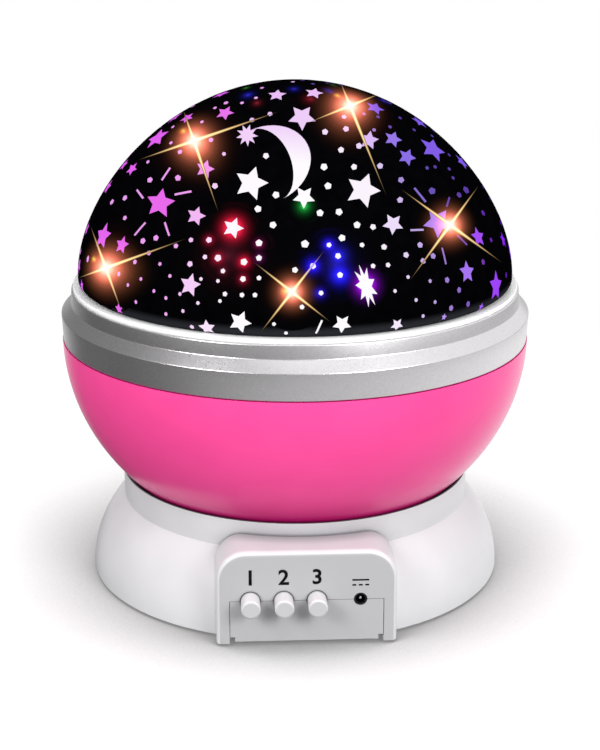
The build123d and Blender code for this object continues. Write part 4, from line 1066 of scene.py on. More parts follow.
        # what lights the object from below is greyer paper, so that the shell keeps its own shade
        grey = add_node(tree, "ShaderNodeBsdfDiffuse", {"Color": linear(self.bounce_grey)})
        above = self.by_ray(tree, self.floor_seen(tree, away), self.floor_gloss(tree, place, away),
                            grey.outputs[0])
        below = add_node(tree, "ShaderNodeNewGeometry").outputs["Backfacing"]
        clear = add_node(tree, "ShaderNodeBsdfTransparent")
        sheet = add_node(tree, "ShaderNodeMixShader", {0: below, 1: above, 2: clear.outputs[0]})
        add_node(tree, "ShaderNodeOutputMaterial", {"Surface": sheet.outputs[0]})
        floor.data.materials.append(material)

    def light_world(self) -> None:
        """White surroundings for the eye, a darker left side for the gloss, even light for the rest."""
        world = bpy.data.worlds.new("white_room")
        bpy.context.scene.world = world
        world.use_nodes = True
        tree = world.node_tree
        tree.nodes.clear()
        white, soft = (
            add_node(tree, "ShaderNodeBackground", {"Color": (1, 1, 1, 1), "Strength": strength}).outputs[0]
            for strength in (1.0, self.soft_light)
        )
        ahead = add_node(tree, "ShaderNodeTexCoord").outputs["Generated"]
        heading = add_node(tree, "ShaderNodeSeparateXYZ", {"Vector": ahead})
        rightward = add_node(tree, "ShaderNodeMapRange", {"Value": heading.outputs["X"], "From Min": -1.0})
        bright = add_node(tree, "ShaderNodeValToRGB", {"Fac": rightward.outputs["Result"]}, [
            ((x + 1) / 2, (grey, grey, grey, 1)) for x, grey in self.wall_shine
        ])
        walls = add_node(tree, "ShaderNodeBackground", {"Color": bright.outputs["Color"]})
        add_node(tree, "ShaderNodeOutputWorld", {"Surface": self.by_ray(tree, white, walls.outputs[0], soft)})

    def hang_lamps(self) -> None:
        """A large soft lamp at the right front, a weaker one at the left and one overhead."""
        for name, at, size, power in self.lamps:
            lamp = bpy.data.lights.new(name, "AREA")
            lamp.shape = "DISK"
            lamp.size = size
            lamp.energy = power
            holder = bpy.data.objects.new(name, lamp)
            bpy.context.scene.collection.objects.link(holder)
            holder.location = at
            beam = Vector(self.lamp_target) - Vector(at)
            holder.rotation_euler = beam.to_track_quat("-Z", "Y").to_euler()


# ---- the dome and its print ----

class Motif(Enum):
    """Shapes of the printed night sky."""

    STAR = "star"
    SPECK = "speck"
    RAY = "ray"
    BURST = "burst"
    CRESCENT = "crescent"
    GLOW = "glow"
    CORE = "core"
    SPIKE = "spike"


@dataclass(frozen=True)
class Mark:
    """One motif, where the camera meets it on the dome.

    across and down are pixels of the view, size is its width there, tilt its turn clockwise in degrees,
    slender its length over its width, and light its colour where it isn't the colour of the print there.
    """

    core_spread = 2.4                   # how much wider than its size a glint's light is cut

    motif: Motif
    across: float
    down: float
    size: float
    tilt: float = 0.0
    slender: float = 1.0
    light: str | None = None

    def width(self) -> float:
        """Width that its blank is cut to, in pixels."""
        return self.size * (self.core_spread if self.motif is Motif.CORE else 1.0)


@dataclass(frozen=True)
class Seat:
    """A place on the film, with the frame that turns pixels of the print into metres there."""

    place: Vector
    frame: Matrix
    turn: Matrix = field(default_factory=lambda: Matrix.Identity(3))

    @staticmethod
    def at(place: Vector, normal: Vector, up: Vector, scale: float, lean: Vector, stretch: float) -> "Seat":
        """Makes a seat.

        Args:
            place: Its centre on the film.
            normal: The film's outward direction there.
            up: Direction that is upright in the print.
            scale: Metres of each pixel.
            lean: Direction along the film in which the print is stretched.
            stretch: How much it is stretched.

        Returns:
            The seat.
        """
        top = (up - up.dot(normal) * normal).normalized()
        flat = Matrix((top.cross(normal), top, normal)).transposed()
        along = (lean - lean.dot(normal) * normal).normalized()
        pull = Matrix([[(1.0 if row == column else 0.0) + (stretch - 1) * along[row] * along[column]
                        for column in range(3)] for row in range(3)])
        return Seat(place, pull @ flat @ Matrix.Diagonal((scale, scale, scale)))


class Halo:
    """Painted glare round a glow or a glint, which also colours the marks that it falls on."""

    glow_strength = 6.3
    glow_fall = 5.0                     # times that a glow falls to a third on its way out to its rim
    glint_reach = (11.4, 3.6, 2.0)      # pixels that a glint's red, green and blue stay full
    glint_fade = (4.8, 5.3, 4.7)        # pixels in which each falls to a third
    glint_full = 34.0                   # size of the glints that these are read from
    glint_edge = 3.0                    # a glint fades out over the last third of its width

    def __init__(self, mark: Mark, seat: Seat) -> None:
        """Keeps the way from the dome back to the print's pixels.

        Args:
            mark: The mark that glows.
            seat: Its seat.
        """
        self.mark = mark
        self.place = seat.place
        self.back = seat.frame.inverted()
        self.rim = mark.width() / 2
        self.colour = linear(mark.light)[:3] if mark.light else (0.0, 0.0, 0.0)

    def offset(self, there: Vector) -> float:
        """Distance from the halo's centre in the print's pixels."""
        across, down, _ = self.back @ (there - self.place)
        return math.hypot(across, down)

    def light(self, there: Vector) -> list[float]:
        """Light that the halo gives.

        Args:
            there: Place on the film.

        Returns:
            The linear red, green and blue there.
        """
        offset = self.offset(there)
        if offset >= self.rim:
            return [0.0, 0.0, 0.0]
        if self.mark.motif is Motif.GLOW:
            out = offset / self.rim
            return [self.glow_strength * math.exp(-self.glow_fall * out) * (1 - out) * c for c in self.colour]
        shrink = self.mark.size / self.glint_full
        edge = min(1.0, self.glint_edge * (1 - offset / self.rim))
        return [edge * min(1.0, math.exp((full * shrink - offset) / (fade * shrink)))
                for full, fade in zip(self.glint_reach, self.glint_fade)]


class DomePrint:
    """The lit marks of the dome: stars, specks, rays and a crescent, with painted glare round them: coloured
    glows and warm glints.
    """

    # Each mark's across and down, then its size and tilt; a ray's size is its length. Bursts end in their
    # slenderness, glows have a colour for a tilt, flares end in the reaches of their four spikes, specks
    # have no tilt, and ghosts, which are faint glows of one kind, have a place alone.
    stars = (
        (157, 138, 27, -22), (225, 113, 18, 12), (277, 95, 18, 0), (314, 93, 18, 20), (302, 117, 27, 36),
        (132, 169, 15, 20), (124, 165, 14, 0), (108, 187, 16, 10), (205, 169, 18, 10), (251, 183, 33, 14),
        (196, 216, 19, 14), (233, 228, 21, 19), (304, 197, 22, 38), (103, 236, 27, 8), (122, 245, 18, 12),
        (190, 285, 23, 15), (240, 322, 23, 26), (187, 118, 15, 20), (82, 286, 13, 0), (369, 140, 19, 20),
        (375, 108, 19, -30), (393, 139, 18, 34), (407, 157, 18, 35), (433, 149, 29, -35), (419, 122, 18, 20),
        (462, 162, 18, -20), (363, 190, 34, 24), (393, 224, 21, -28), (478, 237, 20, -5), (503, 240, 16, 5),
        (467, 272, 22, -4), (496, 286, 30, -4), (342, 324, 19, 36), (397, 325, 14, 30), (207, 328, 18, 0),
        (119, 309, 12, 10), (481, 307, 9, 0), (444, 317, 7, 0),
    )
    rayed_stars = ((160, 203, 29, 3), (438, 222, 31, -28))
    rays = (
        (166, 174, 15, 22), (140, 194, 13, -50), (183, 193, 17, 72), (140, 229, 17, 38), (167, 229, 15, -25),
        (420, 195, 18, -32), (448, 202, 11, 30), (417, 230, 14, 90), (444, 256, 17, -10), (462, 240, 15, -48),
        (319, 327, 15, 22),
    )
    bursts = ((247, 135, 22, 10, 1.0), (366, 286, 21, -18, 2.15))
    specks = (
        (266, 156, 6), (224, 154, 4), (211, 140, 5), (215, 186, 6), (270, 114, 5), (252, 120, 5),
        (325, 132, 6), (324, 167, 7), (276, 195, 7), (258, 209, 7), (320, 213, 7), (273, 225, 7),
        (305, 244, 8), (191, 240, 5), (209, 240, 6), (176, 246, 5), (259, 243, 7), (259, 258, 6),
        (205, 257, 5), (190, 264, 6), (223, 271, 5), (259, 278, 5), (218, 281, 4), (201, 279, 4),
        (225, 294, 5), (242, 295, 5), (255, 295, 5), (220, 301, 4), (198, 303, 4), (180, 294, 4),
        (166, 298, 4), (154, 291, 4), (170, 276, 4), (160, 264, 4), (141, 279, 4), (149, 253, 5),
        (135, 262, 5), (150, 180, 6), (178, 178, 6), (112, 202, 6), (125, 198, 6), (125, 218, 5),
        (143, 241, 6), (156, 238, 6), (183, 311, 4), (166, 314, 4), (346, 129, 6), (344, 117, 5),
        (341, 150, 6), (354, 167, 6), (380, 166, 6), (359, 146, 6), (328, 186, 7), (401, 180, 6),
        (400, 200, 6), (339, 212, 7), (357, 225, 7), (373, 227, 6), (342, 238, 7), (362, 245, 5),
        (384, 247, 6), (406, 255, 6), (420, 245, 6), (423, 261, 6), (433, 256, 6), (388, 265, 5),
        (373, 266, 5), (408, 277, 4), (430, 281, 4), (447, 280, 6), (395, 291, 4), (416, 300, 4),
        (435, 302, 4), (459, 290, 6), (451, 308, 6), (468, 304, 6), (302, 307, 5), (321, 293, 5),
        (295, 270, 6), (274, 324, 4), (432, 191, 7), (466, 190, 8), (390, 127, 4), (374, 130, 4),
        (414, 130, 4), (400, 118, 4), (432, 136, 4), (449, 155, 4), (435, 167, 4), (427, 168, 4),
        (449, 169, 4), (453, 178, 4), (459, 195, 6), (483, 213, 6), (491, 240, 5), (483, 262, 6),
        (506, 275, 6), (218, 258, 7), (244, 262, 7), (243, 279, 6), (329, 245, 5), (338, 256, 6),
        (340, 275, 6), (313, 266, 6), (242, 103, 4), (226, 103, 5), (256, 98, 4), (215, 108, 4),
        (202, 122, 4), (173, 127, 4), (148, 162, 4), (171, 143, 4), (180, 152, 5), (88, 259, 7),
        (128, 285, 4), (136, 302, 4), (192, 327, 5), (286, 333, 4), (119, 274, 5), (313, 84, 4),
        (262, 88, 4), (293, 82, 4), (423, 316, 4), (378, 117, 4), (364, 114, 4),
    )
    # glows are painted glare round lit marks, not print
    glows = (
        (228, 256, 120, "#1C0409"), (335, 265, 120, "#06041C"), (194, 141, 120, "#38100F"),
        (350, 108, 120, "#38100F"), (108, 266, 110, "#38100F"), (292, 292, 80, "#2C0C0C"),
        (450, 225, 80, "#2C0C0C"), (233, 228, 48, "#FF2048"), (218, 258, 30, "#7A0820"),
        (244, 262, 30, "#AA0A2E"), (243, 279, 26, "#6A0A20"), (209, 240, 26, "#6A0A20"),
        (223, 271, 22, "#400818"), (329, 245, 30, "#2010C0"), (338, 256, 44, "#14129F"),
        (340, 275, 44, "#1A14E1"), (313, 266, 34, "#2010D3"), (320, 293, 26, "#1C0C98"),
        (366, 285, 48, "#A010E7"), (304, 206, 32, "#107028"), (259, 244, 24, "#580838"),
        (259, 258, 22, "#480840"), (248, 95, 30, "#0E0C5A"), (294, 89, 26, "#0C0A50"),
        (246, 88, 18, "#183C10"), (257, 103, 24, "#38080E"), (310, 99, 32, "#40060E"),
        (329, 91, 22, "#14105A"), (384, 101, 30, "#141050"), (333, 85, 18, "#1C3414"),
        (80, 284, 20, "#2C0A58"),
    )
    # flares are painted glints with four spikes, not print
    flares = (
        (194, 141, 34, -19, (34, 92, 78, 60)), (350, 106, 37, -22, (26, 34, 100, 44)),
        (106, 268, 35, -20, (46, 88, 46, 30)), (292, 292, 26, -52, (50, 54, 50, 54)),
        (450, 225, 28, -54, (62, 50, 66, 70)),
    )
    # ghosts are faint painted flare spots
    ghosts = ((183, 131), (338, 96), (94, 259), (285, 291), (458, 231))
    crescent = (266, 161, 76, -27.5)

    hue_stops = (                       # bearing round the dome in degrees, and the print's colour there
        (-180, "#C05CF0"), (-100, "#DD5CF0"), (-42, "#EA6CEC"), (-35, "#F09CF0"), (-28, "#F8D8FA"),
        (-18, "#FFFAFF"), (14, "#FFFCFF"), (20, "#FAF0FC"), (28, "#E4D0FA"), (36, "#BC9AF2"),
        (44, "#A67AF2"), (54, "#A650F6"), (68, "#8A26F8"), (100, "#8A26F8"), (180, "#C05CF0"),
    )
    crown_light = "#E6B2F6"             # what the pale front of the print turns to at the top
    cool_light = "#7A66E2"              # what its right side turns to high up
    crown_share = 0.8                   # how far it turns to it
    crown_rise = (0.119, 0.010)         # from this height on, in full after this much more
    crown_side = (52, -20)              # and within so many degrees of the front, in full so much nearer
    cool_share = 0.75                   # the same for the cool light of the right side
    cool_rise = (0.100, 0.010)
    cool_side = (30, 14)
    pale_share = 0.25                   # small marks are paler at the left, from a bearing over a span
    pale_side = (-25, -20)
    dim_share = 0.55                    # and dimmer at the right
    dim_side = (25, 25)

    seed = 11                           # of the turns of specks and of the scatter behind
    star_grow = 1.05                    # stars are cut a little wider than they look
    ray_width = 2.0
    ghost_size = 17.0
    ghost_light = "#D07028"
    spike_width = 4.4
    spike_light = (1.0, 0.64, 0.27)
    spike_heat = 2.6                    # light at a spike's root, which is clipped to white
    spike_fade = 1.3
    star_cuts = {Motif.STAR: (5, 0.5, 2), Motif.SPECK: (5, 0.84, 0), Motif.BURST: (9, 0.52, 1)}
    disc_cuts = {Motif.GLOW: (24, 5), Motif.CORE: (32, 9)}
    bar_cuts = 3
    spike_cuts = 15
    blank_radius = 0.5
    blank_slack = 0.001                 # places on a blank nearer than this are one
    crescent_corners = 48
    crescent_wide = 1.21                # how far the outer arc swells
    crescent_hollow = -0.63             # how far the left half is folded over for the inner arc
    crescent_cuts = 2

    stretch_rise = (0.090, 0.020)       # marks are stretched from this height on, in full so much higher
    stretch_most = 1.6
    glint_stretch = 2.0
    edge_on = 0.1                       # the film is never taken to lean away further than this cosine
    repeat_y = -8 * MM                  # marks in front of this are repeated on the back
    repeat_radius = 28 * MM             # unless they are nearer than this to the axis

    scatter_tries = 1500
    scatter_scale = 0.25 * MM           # size of a pixel of the scatter
    scatter_sizes = {Motif.STAR: (15, 26), Motif.SPECK: (4, 7)}
    scatter_stars = 0.25                # share of stars
    scatter_low = 0.03                  # sine of the lowest climb from the dome's middle
    scatter_room = 0.9 * MM             # between a mark and the next
    scatter_seen = 0.13                 # cosine beyond which the camera sees the film well
    scatter_hang = -0.1                 # the film hangs over where its outward direction dips below this
    scatter_pole = 0.95                 # nearer the pole than this sine, +Y is up
    middle = Vector((0, 0, 84 * MM))
    outside = 0.2                       # metres from the middle to where the rays start

    halo_corner = 2.2                   # a mark's corners, stretched, reach so many half widths
    # the glows, glints and spikes layers are painted glare; only the marks layer is print
    heights = {"glows": 0.02, "glints": 0.035, "marks": 0.05, "spikes": 0.065}  # millimetres over the film

    def __init__(self, film: Piece, studio: Studio) -> None:
        """Starts without blanks or marks.

        Args:
            film: The film that carries the marks.
            studio: The studio whose camera places them.
        """
        self.film = film
        self.studio = studio
        self.blanks: dict[Motif, Piece] = {}
        self.layers: dict[str, list[Piece]] = {layer: [] for layer in self.heights}
        self.halos: list[Halo] = []
        self.taken: list[tuple[Vector, float]] = []
        self.chance = random.Random(self.seed)

    def build(self) -> list[Piece]:
        """Cuts the blanks, stamps every mark and lays each layer on the film.

        Returns:
            One piece for each layer.
        """
        self.cut_blanks()
        seats = [(mark, seat) for mark in self.front_marks() for seat in self.seats(mark)]
        self.halos = [Halo(mark, seat) for mark, seat in seats if mark.motif in (Motif.GLOW, Motif.CORE)]
        for mark, seat in seats:
            self.stamp(mark, seat)
        self.scatter_behind()
        for blank in self.blanks.values():
            bpy.data.objects.remove(blank)
        return [self.lay(layer, height * MM) for layer, height in self.heights.items()]

    def front_marks(self) -> list[Mark]:
        """Lists every mark on the side that faces the camera.

        Returns:
            The marks, in the order in which they are stamped.
        """
        marks = [Mark(Motif.GLOW, across, down, size, light=light)
                 for across, down, size, light in self.glows]
        for across, down, size, tilt, reaches in self.flares:
            marks.append(Mark(Motif.CORE, across, down, size))
            marks += [Mark(Motif.SPIKE, across, down, self.spike_width, tilt + 90 * quarter,
                           2 * reach / self.spike_width) for quarter, reach in enumerate(reaches)]
        marks += [Mark(Motif.GLOW, across, down, self.ghost_size, light=self.ghost_light)
                  for across, down in self.ghosts]
        marks += [Mark(Motif.STAR, across, down, size * self.star_grow, tilt)
                  for across, down, size, tilt in self.stars + self.rayed_stars]
        marks += [Mark(Motif.RAY, across, down, self.ray_width, tilt, length / self.ray_width)
                  for across, down, length, tilt in self.rays]
        marks += [Mark(Motif.BURST, *burst) for burst in self.bursts]
        marks += [Mark(Motif.SPECK, across, down, size * self.star_grow, self.chance.uniform(0, FIFTH_TURN))
                  for across, down, size in self.specks]
        return marks + [Mark(Motif.CRESCENT, *self.crescent)]

    def cut_blanks(self) -> None:
        """Models one flat blank of each motif, one unit wide, facing up with its top towards +Y."""
        for motif, (points, waist, cuts) in self.star_cuts.items():
            self.blanks[motif] = self.star_blank(points, waist, cuts)
        for motif, (corners, cuts) in self.disc_cuts.items():
            self.blanks[motif] = self.disc_blank(corners, cuts)
        self.blanks[Motif.RAY] = self.bar_blank()
        self.blanks[Motif.SPIKE] = self.spike_blank()
        self.blanks[Motif.CRESCENT] = self.crescent_blank()

    def disc_blank(self, corners: int, cuts: int) -> Piece:
        """Round blank.

        Args:
            corners: Corners of its rim.
            cuts: Cuts of each edge, which give the rings of corners that its fade needs.

        Returns:
            The blank.
        """
        bpy.ops.mesh.primitive_circle_add(vertices=corners, radius=self.blank_radius, fill_type="TRIFAN")
        blank = bpy.context.object
        if cuts:
            subdivide(blank, cuts)
        return blank

    def bar_blank(self) -> Piece:
        """Square blank, drawn out to a bar by its mark's slenderness.

        Returns:
            The blank.
        """
        bpy.ops.mesh.primitive_plane_add(size=2 * self.blank_radius)
        blank = bpy.context.object
        subdivide(blank, self.bar_cuts)
        return blank

    def star_blank(self, points: int, waist: float, cuts: int) -> Piece:
        """Star blank: a round one whose every other corner is drawn in.

        Args:
            points: Points of the star.
            waist: Radius between two points as a share of the radius at a point.
            cuts: Cuts of each edge.

        Returns:
            The blank.
        """
        blank = self.disc_blank(2 * points, 0)
        span = math.pi / points

        def is_waist(place: Vector) -> bool:
            """True at the corners between two points."""
            turn = math.atan2(place.x, place.y) / span
            return place.length > self.blank_radius / 2 and round(turn) % 2 == 1

        resize_where(blank, is_waist, (waist, waist, 1))
        if cuts:
            subdivide(blank, cuts)
        return blank

    def spike_blank(self) -> Piece:
        """Half a long diamond: its tip towards +Y and its root across the middle.

        Returns:
            The blank.
        """
        blank = self.disc_blank(4, 0)
        resize_where(blank, lambda place: place.y < -self.blank_slack, (0, 0, 0))
        edit_whole(blank, lambda: bpy.ops.mesh.remove_doubles(threshold=self.blank_slack))
        subdivide(blank, self.spike_cuts)
        return blank

    def crescent_blank(self) -> Piece:
        """Crescent blank: a ring whose left half is folded over to the right, filled between its arcs.

        Returns:
            The blank.
        """
        bpy.ops.mesh.primitive_circle_add(vertices=self.crescent_corners, radius=self.blank_radius,
                                          fill_type="NOTHING")
        blank = bpy.context.object
        resize_where(blank, lambda place: place.x > self.blank_slack, (self.crescent_wide, 1, 1))
        resize_where(blank, lambda place: place.x < -self.blank_slack, (self.crescent_hollow, 1, 1))
        edit_whole(blank, bpy.ops.mesh.fill)
        subdivide(blank, self.crescent_cuts)
        return blank

    def seats(self, mark: Mark) -> list[Seat]:
        """Where a mark lies: where the camera sees it, and on the back, where the print repeats.

        The print is drawn upright towards its top, where the film leans away, so marks are stretched there.

        Args:
            mark: The mark.

        Returns:
            Its one or two seats, or none where the camera misses the film.
        """
        eye, sight, up = self.studio.sight(mark.across, mark.down)
        hit, place, normal, _ = self.film.ray_cast(eye, sight)
        if not hit:
            log.warning("no place on the film for %s", mark)
            return []
        towards = (eye - place).normalized()
        lean = towards - towards.dot(normal) * normal
        glint = mark.motif is Motif.CORE
        share = 1.0 if glint else progress(place.z, *self.stretch_rise)
        most = self.glint_stretch if glint else self.stretch_most
        stretch = min(1 / max(normal.dot(towards), self.edge_on), most) ** share
        scale = (place - eye).length / self.studio.focal_px
        seat = Seat.at(place, normal, up, scale, lean, stretch)
        if place.y > self.repeat_y or math.hypot(place.x, place.y) < self.repeat_radius:
            return [seat]
        half = Matrix.Rotation(math.pi, 3, "Z")
        return [seat, Seat(half @ place, half @ seat.frame, half)]

    def stamp(self, mark: Mark, seat: Seat) -> None:
        """Copies a mark's blank to its seat on the film, lights it and puts it in its layer.

        Args:
            mark: The mark.
            seat: Its seat.
        """
        turn = Matrix.Rotation(math.radians(-mark.tilt), 3, "Z")
        wide = mark.width()
        drawn = turn @ Matrix.Diagonal((wide, wide * mark.slender, 1))
        copy = self.blanks[mark.motif].copy()
        copy.data = self.blanks[mark.motif].data.copy()
        bpy.context.scene.collection.objects.link(copy)
        if mark.motif is Motif.SPIKE:
            places = [self.sighted(mark, seat, drawn @ vertex.co) for vertex in copy.data.vertices]
        else:
            places = [seat.place + seat.frame @ drawn @ vertex.co for vertex in copy.data.vertices]
        self.light_up(copy.data, mark, seat, places)
        copy.data.vertices.foreach_set("co", [c for place in places for c in place])
        layer = {Motif.GLOW: "glows", Motif.CORE: "glints", Motif.SPIKE: "spikes"}.get(mark.motif, "marks")
        self.layers[layer].append(copy)
        if layer == "marks":
            self.taken.append((seat.place, (seat.frame @ Vector((wide / 2, 0, 0))).length))

    def sighted(self, mark: Mark, seat: Seat, offset: Vector) -> Vector:
        """Place on the film behind a pixel, so that a spike stays straight to the eye.

        Args:
            mark: The mark that the pixel belongs to.
            seat: Its seat, turned where the mark is repeated on the back.
            offset: The pixel, rightwards and upwards from the mark's own.

        Returns:
            The place, or the one on the seat's plane where the sight line misses the film.
        """
        eye, sight, _ = self.studio.sight(mark.across + offset.x, mark.down - offset.y)
        hit, place, _, _ = self.film.ray_cast(eye, sight)
        return seat.turn @ place if hit else seat.place + seat.frame @ offset

    def light_up(self, mesh: bpy.types.Mesh, mark: Mark, seat: Seat, places: list[Vector]) -> None:
        """Stores each vertex's light: its own, and that of the glows and glints round it.

        Args:
            mesh: The mark's mesh, still in the shape of its blank.
            mark: The mark.
            seat: Its seat.
            places: Where its vertices go.
        """
        reach = self.halo_corner * mark.width() * max(mark.slender, 1) / 2
        near = [halo for halo in self.halos if halo.offset(seat.place) < halo.rim + reach]
        values: list[float] = []
        for vertex, there in zip(mesh.vertices, places):
            light = self.own_light(mark, seat, vertex.co, there)
            for halo in near:
                light = [a + b for a, b in zip(light, halo.light(there))]
            values += [min(c, 1.0) for c in light] + [1.0]
        colours = mesh.color_attributes.new("light", "FLOAT_COLOR", "POINT")
        colours.data.foreach_set("color", values)

    def own_light(self, mark: Mark, seat: Seat, at: Vector, there: Vector) -> Sequence[float]:
        """Light that a mark has by itself.

        Args:
            mark: The mark.
            seat: Its seat.
            at: Place on its blank.
            there: The same place on the film.

        Returns:
            Its linear light: none where only the halos light it, hot at a spike's root, else the print's.
        """
        if mark.motif in (Motif.GLOW, Motif.CORE):
            return (0.0, 0.0, 0.0)
        if mark.motif is Motif.SPIKE:
            along = progress(at.y, 0, self.blank_radius)
            width = self.blank_radius * (1 - along)
            within = 1 - min(abs(at.x) / width, 1) if width > self.blank_slack else 0.0
            heat = (1 - along) ** self.spike_fade * within * self.spike_heat
            return [heat * c for c in self.spike_light]
        light = self.hue(there if mark.motif is Motif.CRESCENT else seat.place)
        return self.thinned(light, seat.place) if mark.motif in (Motif.SPECK, Motif.RAY) else light

    @staticmethod
    def bearing(place: Vector) -> float:
        """Degrees round the dome from its front towards its right."""
        return math.degrees(math.atan2(place.x, -place.y))

    def hue(self, place: Vector) -> Colour:
        """Colour of the print, which changes round the dome and towards its top.

        Args:
            place: Place on the film.

        Returns:
            The linear red, green and blue there.
        """
        bearing = self.bearing(place)
        for (start, low), (end, high) in zip(self.hue_stops, self.hue_stops[1:]):
            if start <= bearing <= end:
                side = mixed(linear(low)[:3], linear(high)[:3], (bearing - start) / (end - start))
        cool = self.cool_share * progress(bearing, *self.cool_side) * progress(place.z, *self.cool_rise)
        side = mixed(side, linear(self.cool_light)[:3], cool)
        facing = progress(abs(bearing), *self.crown_side)
        crown = self.crown_share * progress(place.z, *self.crown_rise) * facing
        return mixed(side, linear(self.crown_light)[:3], crown)

    def thinned(self, light: Sequence[float], place: Vector) -> list[float]:
        """Light of a small mark: paler than the print's at the left and dimmer at the right.

        Args:
            light: The print's own light.
            place: Place on the film.

        Returns:
            The linear red, green and blue of the mark.
        """
        bearing = self.bearing(place)
        pale = self.pale_share * progress(bearing, *self.pale_side)
        dim = 1 - self.dim_share * progress(bearing, *self.dim_side)
        return [(c + (1 - c) * pale) * dim for c in light]

    def scatter_behind(self) -> None:
        """Fills what the camera hardly sees, between the repeated marks, with small stars and specks."""
        eye = self.studio.eye()
        for _ in range(self.scatter_tries):
            bearing = self.chance.uniform(-math.pi, math.pi)
            climb = math.asin(self.chance.uniform(self.scatter_low, 1.0))
            motif = Motif.STAR if self.chance.random() < self.scatter_stars else Motif.SPECK
            size = self.chance.uniform(*self.scatter_sizes[motif])
            out = Vector((math.cos(climb) * math.sin(bearing), -math.cos(climb) * math.cos(bearing),
                          math.sin(climb)))
            hit, place, normal, _ = self.film.ray_cast(self.middle + out * self.outside, -out)
            if not hit or normal.z < self.scatter_hang:
                continue
            if normal.dot((eye - place).normalized()) > self.scatter_seen:
                continue
            reach = size * self.scatter_scale / 2 + self.scatter_room
            if any((place - other).length < reach + radius for other, radius in self.taken):
                continue
            up = Vector((0, 0, 1)) if out.z < self.scatter_pole else Vector((0, 1, 0))
            mark = Mark(motif, 0, 0, size, self.chance.uniform(0, FIFTH_TURN))
            self.stamp(mark, Seat.at(place, normal, up, self.scatter_scale, up, 1.0))

    def lay(self, layer: str, height: float) -> Piece:
        """Joins a layer's marks and draws them onto the film.

        Args:
            layer: Name of the layer.
            height: How far over the film it lies.

        Returns:
            The layer's one piece.
        """
        piece = join(self.layers[layer], "print_" + layer)
        wrap = piece.modifiers.new("onto_film", "SHRINKWRAP")
        wrap.target = self.film
        wrap.wrap_method = "NEAREST_SURFACEPOINT"
        wrap.wrap_mode = "ABOVE_SURFACE"
        wrap.offset = height
        bpy.ops.object.modifier_apply(modifier=wrap.name)
        return settle(piece)


@dataclass
class Dome:
    """Printed film dome on its lip."""

    base: float = 82.5 * MM             # the film is widest here
    side_pull: float = 0.401            # how long its side stays upright, as a share of its rise
    top_pull: float = 0.586             # how far out its top stays flat, as a share of its radius
    curl: float = 2.0 * MM
    wall: float = 0.8 * MM
    ink: float = 0.1 * MM               # room under the solid's face for the print
    lip_radius: float = 54.9 * MM
    side_steps: int = 56
    curl_steps: int = 8

    def build(self, studio: Studio) -> None:
        """Builds the film and its print.

        Args:
            studio: The studio whose camera places the print.
        """
        film = self.film()
        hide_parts("star_dome")
        dress(film, PRINTED_FILM, "dome")
        for layer in DomePrint(film, studio).build():
            dress(layer, LIT_PRINT, "dome")

    def side(self, inset: float) -> list[tuple[float, float]]:
        """Curve of the dome's side.

        Args:
            inset: How far inside the solid's face it runs.

        Returns:
            The places of the curve, from its widest height to its top.
        """
        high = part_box("star_dome")[1]
        radius = high.x - inset
        top = high.z - inset
        rise = top - self.base
        ends = ((radius, self.base), (radius, self.base + rise * self.side_pull),
                (radius * self.top_pull, top), (0.0, top))
        places = []
        for step in range(self.side_steps + 1):
            t = step / self.side_steps
            weights = ((1 - t) ** 3, 3 * t * (1 - t) ** 2, 3 * t * t * (1 - t), t ** 3)
            places.append(tuple(sum(w * end[axis] for w, end in zip(weights, ends)) for axis in (0, 1)))
        return places

    def curl_at(self, reach: float, flat: float) -> list[tuple[float, float]]:
        """Quarter turn from the upright side in to the flat lip.

        Args:
            reach: How far in the turn goes.
            flat: Height of the lip's face that it ends on.

        Returns:
            The places of the turn, from the side down.
        """
        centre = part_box("star_dome")[1].x - self.ink - self.curl
        turns = [math.radians(90 * step / self.curl_steps) for step in range(self.curl_steps + 1)]
        return [(centre + reach * math.cos(turn), self.base - (self.base - flat) * math.sin(turn))
                for turn in turns]

    def film(self) -> Piece:
        """Film with its curled edge and its inside, closed at the top.

        Returns:
            The film.
        """
        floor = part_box("star_dome")[0].z
        under = self.curl_at(self.curl, floor)
        over = self.curl_at(self.curl - self.wall, floor + self.wall)
        profile = self.side(self.ink)[::-1] + under[1:] + [(self.lip_radius, floor)]
        profile += [(self.lip_radius, floor + self.wall)] + over[::-1] + self.side(self.ink + self.wall)[1:]
        return spun("film_dome", profile)


# ---- the ring and the lip round the dome ----

